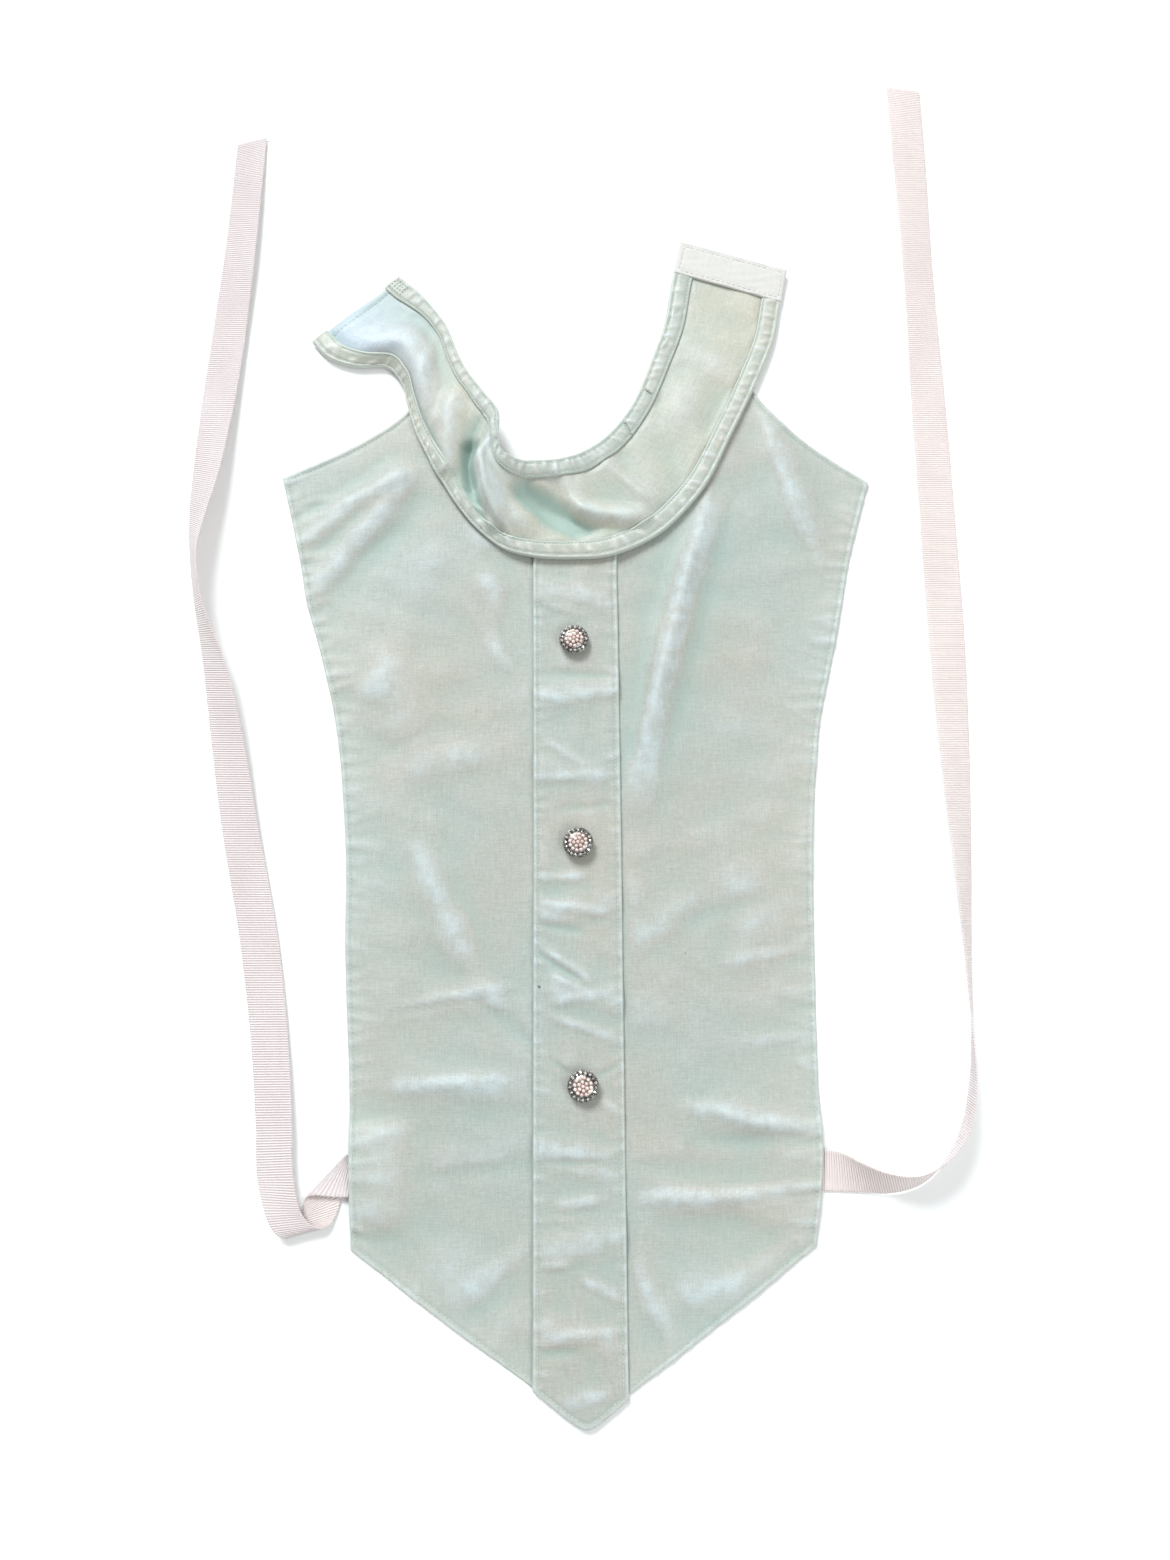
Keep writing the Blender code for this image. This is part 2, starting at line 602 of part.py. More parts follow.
def build_button(name, x, y):
    """A domed button on its shank, turned from the half section."""
    profile = columns(BUTTON_PROFILE)
    points = [(radius, 0.0, height) for radius, height in profile]
    mesh = bpy.data.meshes.new(name)
    edges = [(i, i + 1) for i in range(len(points) - 1)]
    mesh.from_pydata([Vector(point) * MM for point in points], edges, [])
    piece = bpy.data.objects.new(name, mesh)
    piece.data.materials.append(look("metal"))
    bpy.data.collections[COLLECTION].objects.link(piece)
    piece.location = Vector((x, y, BUTTON_BASE)) * MM
    turn = piece.modifiers.new("turn", "SCREW")
    turn.axis = "Z"
    turn.steps = BUTTON_STEPS
    turn.render_steps = BUTTON_STEPS
    turn.use_merge_vertices = True
    turn.merge_threshold = 0.00001
    turn.use_normal_calculate = True


def clear_scene():
    """Remove what the scene holds and make the dickey's collection."""
    for old in list(bpy.data.objects):
        bpy.data.objects.remove(old, do_unlink=True)
    group = bpy.data.collections.new(COLLECTION)
    bpy.context.scene.collection.children.link(group)


def main():
    """Build every piece."""
    clear_scene()
    build_front()
    build_placket()
    build_collar_band()
    build_binding("collar_seam_binding", 0.0)
    build_binding("collar_neck_binding", 1.0)
    build_closure_tape()
    for name, x, y in BUTTONS:
        build_button(name, x, y)
    build_tie("tie_left", LEFT_TIE_ROWS)
    build_tie("tie_right", RIGHT_TIE_ROWS)


main()
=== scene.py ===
import math

import bpy
import numpy as np
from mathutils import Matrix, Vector


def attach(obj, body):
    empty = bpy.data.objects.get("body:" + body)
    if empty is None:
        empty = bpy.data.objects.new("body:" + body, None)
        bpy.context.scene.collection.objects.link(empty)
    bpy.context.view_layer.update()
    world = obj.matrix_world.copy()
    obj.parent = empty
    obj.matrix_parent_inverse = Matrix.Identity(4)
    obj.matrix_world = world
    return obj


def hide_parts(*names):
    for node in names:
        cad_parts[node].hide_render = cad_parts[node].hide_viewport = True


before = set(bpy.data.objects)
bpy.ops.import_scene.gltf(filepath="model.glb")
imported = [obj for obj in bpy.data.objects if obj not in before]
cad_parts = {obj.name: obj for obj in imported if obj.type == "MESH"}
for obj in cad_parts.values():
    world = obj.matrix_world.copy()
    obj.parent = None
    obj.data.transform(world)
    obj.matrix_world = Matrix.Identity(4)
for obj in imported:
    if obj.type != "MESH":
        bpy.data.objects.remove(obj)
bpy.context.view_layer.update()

MM = 0.001

FAR = 1e9

# Folds: the crest and foot of a crisp one, and where its ends begin to fall
CREST_SOFT = 0.03
CREST_SPAN = 1.03**0.5 - 0.03**0.5
CREST_SPREAD = 0.45
FOLD_END = 0.02
BEND_STEP = 2.5
BEND_POWER = 1.4

# Puckers: shares of the pitch, the reach and the rise
PUCKER_FIRST = 0.4
PUCKER_START = 1.2
PUCKER_DEPTH = (0.4, 1.0)
PUCKER_LEAN = (-0.4, 0.4)
PUCKER_WIDTH = (0.28, 0.5)
PUCKER_RISE = (0.35, 1.0)
PUCKER_GAP = (0.65, 1.45)

# Waves of the cloth's unevenness
WAVE_COUNT = 9
WAVE_SIZES = (0.7, 1.7)
WAVE_SCALE = 4.0

# Camera, light and floor
CAMERA_PLACE = (0.00202, -0.09541, 0.4908)
CAMERA_TURN = (math.radians(11.0), 0.0, -0.017648)
CAMERA_LENS = 27.046
CAMERA_SENSOR = 36.0
CAMERA_CLIP = (0.01, 50.0)
LIGHT_TARGET = (0.0, 0.02, 0.0)
FLOOR_SIZE = 6.0
FLOOR_HEIGHT = -0.0003
SKY_COLOUR = (1.0, 0.975, 0.95)
SKY_STRENGTH = 0.5
LIGHTS = (
    # name, x, y, z, width, power, red, green, blue
    ("key", -1.55, 3.5, 3.15, 2.3, 302.0, 0.9, 0.97, 1.0),
    ("fill", 1.3, -1.1, 1.5, 1.4, 25.0, 0.88, 0.97, 1.0),
)

# Cloth
WALL = 1.0
SEAM_GAP = 0.3
CLOTH_CELL = 1.75
FINE_CELL = 1.1
EDGE_STEPS = (3.4, 2.75, 2.2, 1.65, 1.1, 0.6, 0.25, 0.0)
EDGE_ROUND = 0.7
EDGE_WALL = 0.4
SEAM_SHADE = 1.1
BORDER_LIGHT = 0.5
BORDER_WIDTH = 14.0
RELIEF_ROUNDS = 14
RELIEF_DEPTH = 0.5
HEM_STITCH = 2.2
WEAR_WIDTH = 0.9
GROOVE_WIDTH = 0.5

# Front panel
BODY_CELL = CLOTH_CELL * 1.12
YOKE_CELL = CLOTH_CELL * 1.05
YOKE_LENGTH = 82.0
HALF_LENGTH = 100.0
FOOT_SPREAD = 1.3
NECK_SAMPLES = 400
NECK_POINTS = 60
NECK_ALLOWANCE = 7.0
RIGHT_JOIN_BACK = 5.0
FRONT_CRISP = 0.6
FOLD_LONGER = 0.14
CREASE_LONGER = 0.12
HEM_CRISP = 0.4
OVER_LOW = 0.62
OVER_EDGE = 0.32
THINNEST = 0.3
# Strength of the painted shadow line on the front beside the placket
PLACKET_SHADOW_STRENGTH = 1.5
HEM_BOW = 1.0
HEM_REACH = 60.0
LEFT_SHOULDER = (5.1, 0.66)
RIGHT_SHOULDER = (6.3, 0.72)
PLACKET_FLAT = (23.0, 36.0)
COLLAR_FLAT = (8.5, 25.0)
UNDER_PLACKET = (17.5, 24.0)
UNDER_COLLAR = (1.0, 7.0)
FRONT_WAVES = (
    # height, size, seed
    (0.6, 60.0, 41),
    (0.24, 20.0, 42),
    (0.06, 9.0, 44),
    (0.02, 5.0, 43),
)
HEM_PUCKER_ROWS = (
    # name, length, pitch, reach, rise
    ("side", 340.0, 5.6, 17.0, 1.0),
    ("foot", 120.0, 7.0, 12.0, 0.6),
    ("shoulder", 70.0, 9.0, 9.0, 0.35),
)

# Collar
BAND_WIDTH = 48.0
BINDING_WIDTH = 8.5
CREST_REACH = 0.3
CREST_NECK_REACH = 0.46
BAND_LOW = 0.85
BAND_SETTLE = 0.3
BEND_CLEAR = (2.0, 11.0)
COLLAR_STEP = 0.4
BAND_HALF = 0.42
BAND_COLUMNS = 56
BAND_CELL = 0.95
BAND_WAVES = (
    # height, size, seed
    (0.45, 22.0, 11),
    (0.05, 8.0, 12),
)
END_STITCH = 3.4
END_ROLL = (0.2, 0.3)
END_REACH = (5.0, 8.0)
END_TACKS = (1.2, 3.2, 5.4, 7.4, 9.6)

# Bindings: distances in from the band's edge, and heights above its middle
BINDING_CELL = 0.9
BINDING_CLEAR = 2.5
BINDING_HIGH = 1.5
BINDING_SEAM = 2.0
BINDING_STITCH = 7.4
BINDING_FOLD = 8.4
BINDING_TRIM = 1.5
TUCK_START = (0.4, 2.0)
TUCK_END = (7.4, 8.4)
TURN_STEPS = 5
TURN_LOW = 0.05
BIAS = 0.7071
BINDING_STEPS = (
    8.5, 8.35, 8.0, 7.7, 7.4, 7.1, 6.7, 6.0, 5.2,
    4.4, 3.6, 3.0, 2.5, 2.0, 1.5, 1.0, 0.6,
)
BINDING_BACK = (
    # name, inside, out
    ("turn", 0.25, -0.45),
    ("raw_edge_low", 1.0, -0.45),
    ("raw_edge", 1.0, 0.7),
    ("inner_low", 2.7, 0.74),
    ("inner", 4.5, 0.74),
    ("inner_high", 6.5, 0.74),
    ("inner_end", 8.5, 0.74),
)

# Closure tape
TAPE_WIDTH = 16.5
TAPE_ROWS = 16
TAPE_COLUMNS = 50
TAPE_CELL = 0.9
TAPE_FIRST = (0.0, 0.2, 0.5)
TAPE_STEPS = (1.0, 0.5, 0.2, 0.0)
TAPE_STITCH = 1.9
TAPE_SEAT = WALL / 2 + SEAM_GAP
TAPE_THICK = 0.95
TAPE_SEWN = 0.78
TAPE_ROUND = 0.8
TAPE_WAVES = (
    # height, size, seed
    (0.12, 4.0, 81),
    (0.1, 13.0, 82),
)

# Placket
PLACKET_TOP = 102.6
PLACKET_LOW = -256.0
PLACKET_SEWN = (94.0, 98.5)
PLACKET_STITCH = 2.1
PLACKET_START = 2.6
PLACKET_ROLL = (0.16, 0.34)
PLACKET_ROUND = 1.3
PLACKET_SINK = -0.5
PLACKET_CLEAR = 0.1
PLACKET_THINNEST = 0.25
PLACKET_WAVES = (
    # height, size, seed
    (0.2, 16.0, 61),
    (0.04, 6.0, 62),
)
RIPPLE_LIFT = 1.3
RIPPLE_CRISP = 0.5
LENGTH_CELL = FINE_CELL * 1.15
FOOT_Y = -240.0
FOOT_TRIM = 2.4
TIP_SPREAD = 1.28
TIP_X = 0.0
TIP_Y = -254.7
TIP_SLOPE = 0.79
TIP_ROUND = 3.3

# Ties
LEFT_SEAT = 2.95
RIGHT_SEAT = 1.45
SEAT_DEPTH = (11.0, 32.0)
SEAT_REACH = (11.0, 26.0)
SEAT_Y = -160.3
RIBBON_CELL = 1.4
RIBBON_WALL = 0.5
RIBBON_LOW = 0.5
RIBBON_WIDTH = 16.0
RIB_PITCH = 1.0
WARP_PITCH = 0.28
RIBBON_COLUMNS = (0.0, 0.02, 0.05, 0.09, 0.2, 0.35, 0.5, 0.65, 0.8, 0.91, 0.95, 0.98, 1.0)

# Buttons
BUTTON_BASE = 2.6
BUTTON_STEPS = 56
BUTTON_FINE = (3.0, 9.0)
BUTTON_FLAT = (2.5, 10.0)
BUTTON_DENT = 0.35
BUTTON_PULL = 3.0

# Thread
STITCH_PITCH = 1.8
CLOSE_PITCH = 1.7
TAPE_PITCH = 2.4
END_PITCH = 2.2
TACK_PITCH = 1.4
STITCH_SHARE = 0.8
SEAM_STEP = 0.7
THREAD_RADIUS = 0.14
THREAD_SEAT = THREAD_RADIUS * 0.6
THREAD_SIDES = 5
THREAD_PROFILE = (
    # name, share of the length, share of the radius, lift
    ("start", 0.0, 0.3, -0.16),
    ("out", 0.12, 0.85, 0.0),
    ("middle", 0.5, 1.0, 0.09),
    ("in", 0.88, 0.85, 0.0),
    ("end", 1.0, 0.3, -0.16),
)

# Looks: the pitch of the threads, and the full part of a small mark
WEAVE_PITCH = 0.5
TAPE_RIB_PITCH = 0.9
SPECK_CORE = 0.6

# Where the collar turns bluish towards its left end, and that colour
COLLAR_COOL_END = (-50.0, -100.0, (0.425, 0.49, 0.565))

CLOTH_LOOKS = {
    # name: cool colour, warm colour, roughness, sheen, specular level, strength of the painted shade
    # in hollows
    "mint_sateen": ((0.376, 0.397, 0.368), (0.403, 0.384, 0.336), 0.5, 0.35, 0.5, 0.42),
    "placket_sateen": ((0.376, 0.397, 0.368), (0.403, 0.384, 0.336), 0.5, 0.35, 0.5, 0.42),
    "collar_sateen": ((0.438, 0.445, 0.395), (0.502, 0.465, 0.377), 0.42, 0.4, 0.5, 0.75),
    "binding_sateen": ((0.405, 0.413, 0.373), (0.465, 0.437, 0.368), 0.38, 0.4, 0.6, 0.42),
}

# Noise scale and detail, its low and high, two colours, roughness, settings, relief
COTTON_THREAD = ((1400.0, 2.0), (0.3, 0.7))
COTTON_FINISH = ((0.45, 0.65), {"Sheen Weight": 0.3}, (0.4, 0.00005))
GRAINED_LOOKS = {
    "thread": (*COTTON_THREAD, (0.60, 0.65, 0.60), (0.44, 0.51, 0.46), *COTTON_FINISH),
    "pale_thread": (*COTTON_THREAD, (0.74, 0.74, 0.69), (0.60, 0.61, 0.56), *COTTON_FINISH),
    "antique_silver": (
        (700.0, 4.0), (0.38, 0.62), (0.10, 0.095, 0.09), (0.42, 0.40, 0.37),
        (0.5, 0.22), {"Metallic": 0.95}, (0.5, 0.0001),
    ),
    "pearl": (
        (420.0, 3.0), (0.35, 0.65), (0.86, 0.68, 0.62), (0.62, 0.44, 0.40),
        (0.28, 0.42), {"Coat Weight": 0.8, "Coat Roughness": 0.12}, None,
    ),
    # painted glints: fine noise makes facets dark grey or near white, standing in for reflections
    "stones": (
        (900.0, 1.0), (0.44, 0.56), (0.30, 0.29, 0.28), (0.97, 0.97, 0.95),
        (0.18, 0.06), {"Metallic": 0.75, "Coat Weight": 1.0, "Coat Roughness": 0.03}, None,
    ),
    "floor_paper": (
        (60.0, 4.0), (0.3, 0.7), (0.93, 0.93, 0.93), (0.95, 0.95, 0.95),
        (0.9, 0.9), {"Specular IOR Level": 0.1}, None,
    ),
}

BODY_ROWS = (
    # name, centre_y, left_x, left_y, right_x, right_y
    ("hem", -253.6, -92.3, -188.0, 92.0, -189.6),
    ("tie", -205.0, -93.3, -155.0, 96.0, -157.5),
    ("skirt", -150.0, -94.3, -120.5, 96.1, -122.5),
    ("low_waist", -88.0, -96.7, -74.3, 97.4, -77.7),
    ("waist", -30.0, -97.8, -24.2, 99.3, -27.7),
    ("high_waist", 25.0, -102.6, 23.0, 105.0, 21.5),
    ("chest", 70.0, -109.6, 54.9, 112.4, 52.5),
    ("neck_foot", 105.8, -117.0, 80.5, 118.5, 79.0),
)

YOKE_ROWS = (
    # name, share, left_x, left_y, right_x, right_y
    ("neck_foot", 0.0, -117.0, 80.5, 118.5, 79.0),
    ("armhole", 0.35, -121.0, 103.0, 122.8, 98.5),
    ("yoke", 0.7, -125.6, 123.5, 128.4, 118.0),
    ("shoulder", 1.0, -129.4, 140.0, 133.2, 133.0),
)

FRONT_FOLDS = (
    # name, start_x, start_y, end_x, end_y, half_width, height
    ("right_long", 63.0, 134.0, 24.0, -6.0, 10.0, 4.2),
    ("right_yoke", 90.0, 162.0, 106.0, 108.0, 12.0, 2.6),
    ("right_waist", 62.0, -30.0, 74.0, -78.0, 24.0, 1.8),
    ("right_low", 50.0, -136.0, 92.0, -145.0, 10.0, 2.2),
    ("right_foot", 27.0, -170.5, 88.0, -172.0, 10.0, 2.4),
    ("right_hem", 40.0, -208.0, 62.0, -200.0, 14.0, 1.5),
    ("left_yoke_high", -66.0, 147.0, -118.0, 111.0, 9.5, 3.2),
    ("left_yoke_low", -70.0, 138.0, -113.0, 88.0, 9.5, 2.6),
    ("left_neck", -47.0, 112.0, -28.0, 64.0, 11.0, 2.2),
    ("left_chest", -88.0, 58.0, -70.0, 24.0, 20.0, 1.8),
    ("left_waist", -67.0, -30.0, -41.0, -86.0, 11.0, 2.0),
    ("left_crease", -62.0, -92.0, -30.0, -88.0, 9.0, 1.4),
    ("left_low", -74.0, -124.0, -34.0, -126.0, 10.0, 2.0),
    ("left_hem", -62.0, -190.0, -36.0, -208.0, 14.0, 1.5),
)

# Finer creases of the front
FRONT_CREASES = (
    # name, start_x, start_y, end_x, end_y, half_width, height
    ("long_crest_high", 62.0, 132.0, 47.0, 82.0, 4.2, 1.1),
    ("long_crest_mid", 50.0, 94.0, 36.0, 42.0, 4.2, 1.1),
    ("long_crest_low", 38.5, 52.0, 23.0, -4.0, 4.6, 1.0),
    ("yoke_left_a", -119.0, 119.0, -72.0, 141.0, 4.2, 0.9),
    ("yoke_left_b", -113.0, 99.0, -82.0, 126.0, 4.2, 0.8),
    ("yoke_left_c", -124.0, 127.0, -105.0, 130.0, 2.6, 0.5),
    ("yoke_left_hollow", -80.0, 114.4, -99.5, 89.5, 7.0, -0.9),
    ("neck_trough", -54.0, 114.0, -23.0, 55.0, 8.5, -1.1),
    ("neck_ridge", -46.0, 76.0, -16.0, 33.0, 7.0, 0.6),
    ("chest_patch", -70.0, 5.0, -26.0, 17.0, 12.0, 0.9),
    ("waist_trough", -55.0, -10.0, -27.0, -74.0, 8.0, -1.1),
    ("waist_low", -53.0, -42.0, -24.0, -81.0, 5.0, -0.7),
    ("yoke_right_a", 86.0, 168.0, 100.0, 118.0, 3.6, 0.9),
    ("yoke_right_b", 98.0, 124.0, 108.0, 100.0, 4.2, 0.7),
    ("right_nick", 97.0, 61.0, 111.0, 52.0, 1.7, -0.5),
    ("right_patch", 22.0, -71.0, 47.0, -52.0, 10.0, 1.0),
    ("right_shade", 47.0, -60.0, 78.0, -52.0, 7.0, -0.9),
    ("right_shade_low", 55.0, -80.0, 67.0, -54.0, 8.0, -0.8),
    ("side_ridge_a", 64.0, -77.5, 92.0, -72.5, 3.6, 0.8),
    ("side_ridge_b", 68.0, -110.0, 95.0, -108.0, 3.6, 0.7),
    ("low_crest_a", 47.0, -135.5, 74.0, -143.0, 3.4, 1.1),
    ("low_crest_b", 69.0, -141.5, 95.0, -144.6, 3.2, 1.1),
    ("low_shade", 50.0, -149.2, 95.0, -149.0, 4.2, -0.7),
    ("tie_line_right", 15.0, -158.5, 36.0, -158.0, 3.6, -0.6),
    ("foot_crest_a", 20.0, -170.2, 62.0, -170.0, 3.4, 1.2),
    ("foot_crest_b", 56.0, -170.1, 93.0, -165.7, 3.2, 1.1),
    ("diagonal_right", 19.0, -112.0, 50.0, -132.5, 5.0, -0.7),
    ("hem_right", 58.0, -203.0, 86.0, -185.5, 6.0, 1.0),
    ("foot_right", 18.0, -193.0, 33.0, -222.0, 5.0, 1.0),
    ("crease_left_a", -74.0, -93.0, -50.0, -89.5, 1.7, 0.6),
    ("crease_left_b", -55.0, -90.0, -24.0, -85.8, 1.7, 0.6),
    ("crease_shade", -72.0, -95.3, -28.0, -89.4, 2.0, -0.4),
    ("diagonal_left", -43.0, -91.5, -20.0, -109.0, 4.2, -0.9),
    ("band_left", -76.0, -126.2, -32.0, -123.3, 3.8, 1.0),
    ("tie_line_left", -60.0, -160.6, -19.0, -156.8, 3.8, -0.8),
    ("wedge_left", -43.0, -212.5, -19.0, -196.0, 6.0, -0.9),
    ("wedge_crest", -47.0, -204.0, -22.0, -187.0, 5.0, 0.8),
    ("hip_left", -92.0, -146.0, -70.0, -141.0, 5.0, 0.8),
    ("hip_right", 40.0, -30.0, 88.0, -12.0, 12.0, 0.7),
    ("side_left", -98.0, 30.0, -78.0, 52.0, 8.0, 0.7),
)

COLLAR_ROWS = (
    # name, seam_x, seam_y, seam_z, neck_x, neck_y, neck_z, crest, rise
    ("right_end", 101.6, 238.6, 1.0, 52.9, 254.3, 1.0, 0.50, 0.0),
    ("right_tape", 97.3, 218.7, 1.0, 48.1, 234.4, 1.0, 0.50, 0.3),
    ("right_upper", 93.8, 202.9, 1.3, 43.7, 211.9, 1.2, 0.50, 0.6),
    ("right_join", 84.9, 181.8, 1.9, 37.2, 193.7, 1.6, 0.50, 0.8),
    ("right_side", 73.5, 158.4, 1.9, 28.9, 173.6, 2.2, 0.50, 0.6),
    ("right_turn", 55.7, 126.5, 1.9, 15.6, 155.9, 3.2, 0.50, 0.4),
    ("right_low", 36.5, 108.2, 2.1, 5.9, 148.6, 4.8, 0.50, 0.0),
    ("centre_right", 14.7, 99.0, 3.2, -2.6, 144.9, 6.2, 0.50, 0.0),
    ("centre", 1.0, 98.3, 3.2, -9.4, 143.2, 7.0, 0.50, 0.0),
    ("gather", -17.8, 99.6, 3.2, -18.6, 142.4, 8.2, 0.50, 0.0),
    ("left_low", -30.1, 103.7, 2.1, -25.6, 142.8, 9.6, 0.50, 0.0),
    ("fold_foot", -41.6, 113.1, 1.9, -31.0, 146.8, 10.4, 0.50, 0.0),
    ("pinch", -51.4, 125.6, 1.9, -31.6, 155.9, 12.0, 0.50, 0.0),
    ("fold_back", -57.2, 135.2, 1.9, -31.7, 165.6, 10.5, 0.45, 0.5),
    ("left_side", -64.0, 147.8, 1.9, -38.7, 176.9, 8.4, 0.40, 1.5),
    ("left_turn", -69.9, 160.5, 1.9, -45.2, 186.5, 7.0, 0.35, 3.0),
    ("left_join", -73.7, 174.2, 1.9, -50.3, 196.6, 6.0, 0.34, 5.0),
    ("roll_in", -76.1, 183.9, 1.4, -55.4, 210.8, 5.0, 0.32, 6.5),
    ("roll", -83.6, 192.7, 1.0, -62.0, 221.1, 4.0, 0.32, 7.0),
    ("roll_out", -99.1, 193.5, 1.0, -68.6, 229.5, 3.0, 0.31, 4.5),
    ("left_turned", -110.1, 197.7, 1.0, -72.9, 233.6, 2.4, 0.30, 2.0),
    ("left_end", -117.6, 205.8, 1.0, -77.6, 238.0, 2.0, 0.30, 0.6),
)

COLLAR_FOLDS = (
    # name, start_x, start_y, end_x, end_y, half_width, height
    ("fold_ridge", -40.5, 143.0, -33.5, 117.0, 7.0, 3.4),
    ("fold_slope", -31.5, 139.0, -25.0, 118.0, 13.0, 2.6),
    ("fold_hollow", -44.5, 150.0, -43.5, 133.0, 6.0, -3.4),
    ("limb_ridge", -52.0, 174.0, -56.0, 144.0, 8.5, 2.2),
    ("long_hollow", -21.0, 128.0, 2.0, 113.5, 9.0, -3.0),
    ("front_ridge", 5.0, 119.5, 30.0, 117.5, 7.0, 2.8),
    ("turn_ridge", 17.0, 142.0, 33.0, 127.0, 9.0, 1.4),
)

# Finer creases of the collar band
COLLAR_CREASES = (
    # name, start_x, start_y, end_x, end_y, half_width, height
    ("fold_nick", -48.0, 134.0, -42.5, 131.0, 1.5, 0.7),
    ("fold_nick_low", -44.0, 125.0, -38.5, 120.0, 1.4, 0.7),
    ("turn_crest", 14.0, 144.0, 34.0, 126.0, 3.4, 0.7),
    ("tuck_gather_a", -29.5, 115.0, -26.5, 109.0, 1.4, 0.7),
    ("tuck_gather_b", -37.5, 118.0, -34.0, 112.0, 1.6, 0.8),
    ("tuck_right_a", 46.0, 214.5, 52.5, 219.0, 1.3, -0.6),
    ("tuck_right_b", 41.5, 199.0, 46.5, 205.0, 1.3, 0.5),
    ("tuck_right_c", 33.5, 179.5, 37.5, 175.5, 1.2, -0.6),
    ("tuck_right_d", 23.5, 164.5, 28.5, 154.0, 1.3, -0.5),
    ("right_slack_a", 52.0, 204.0, 76.0, 182.0, 9.0, 0.9),
    ("right_slack_b", 60.0, 216.0, 84.0, 206.0, 9.0, -0.7),
    ("right_slack_c", 44.0, 176.0, 62.0, 150.0, 8.0, 0.8),
    ("left_slack_a", -52.0, 176.0, -64.0, 158.0, 5.0, 0.7),
    ("left_slack_b", -62.0, 200.0, -66.0, 184.0, 5.0, 0.6),
    ("end_slack_a", -108.0, 208.0, -84.0, 222.0, 5.0, 0.5),
    ("end_slack_b", -98.0, 204.0, -80.0, 214.0, 4.0, -0.4),
)

# Folds of the collar band that bend, each with its own width on either side
COLLAR_BENDS = (
    # name, points, left_width, right_width, height
    ("limb", ((-51.0, 180.0), (-54.0, 164.0), (-56.0, 150.0), (-53.5, 137.0)), 8.0, 8.0, 1.2),
    (
        "valley",
        ((-38.5, 166.0), (-44.5, 152.0), (-45.3, 141.0), (-42.0, 129.0), (-38.0, 119.0)),
        2.6, 6.0, -2.0,
    ),
    (
        "lip",
        ((-35.0, 153.0), (-40.6, 145.0), (-39.6, 134.4), (-36.8, 124.0), (-33.0, 116.0)),
        3.6, 1.7, 2.2,
    ),
    (
        "crest",
        ((-33.0, 159.0), (-40.6, 145.6), (-39.4, 134.4), (-36.6, 123.4), (-32.0, 114.5)),
        19.0, 2.4, 3.0,
    ),
    (
        "trough",
        ((-33.0, 138.0), (-24.5, 128.0), (-14.4, 120.6), (-4.0, 113.6), (6.0, 111.4), (15.0, 113.6)),
        11.0, 9.0, -2.2,
    ),
    ("crease", ((-12.0, 117.4), (-3.0, 112.4), (6.0, 111.2), (13.0, 112.9)), 2.6, 1.6, -0.8),
    (
        "facet",
        ((-3.0, 138.0), (-0.5, 128.0), (5.0, 119.6), (14.0, 117.4), (32.0, 115.6)),
        9.0, 5.0, 2.0,
    ),
    ("slope", ((-20.0, 141.0), (-8.0, 137.0), (2.0, 136.0)), 7.0, 9.0, 1.4),
)

PLACKET_FOLDS = (
    # name, start_x, start_y, end_x, end_y, half_width, height
    ("ripple_neck", -14.0, 84.0, 12.0, 80.0, 9.0, 0.9),
    ("ripple_chest", -10.0, 36.0, 16.0, 40.0, 10.0, 1.0),
    ("ripple_rib", -16.0, 6.0, 8.0, 2.0, 9.0, 0.8),
    ("ripple_waist", -12.0, -56.0, 14.0, -52.0, 9.0, 0.9),
    ("ripple_belly", -8.0, -88.0, 15.0, -92.0, 10.0, 1.1),
    ("ripple_low", -16.0, -152.0, 6.0, -156.0, 10.0, 1.0),
    ("ripple_hem", -12.0, -188.0, 14.0, -184.0, 11.0, 1.2),
    ("ripple_foot", -14.0, -218.0, 8.0, -222.0, 10.0, 1.0),
)

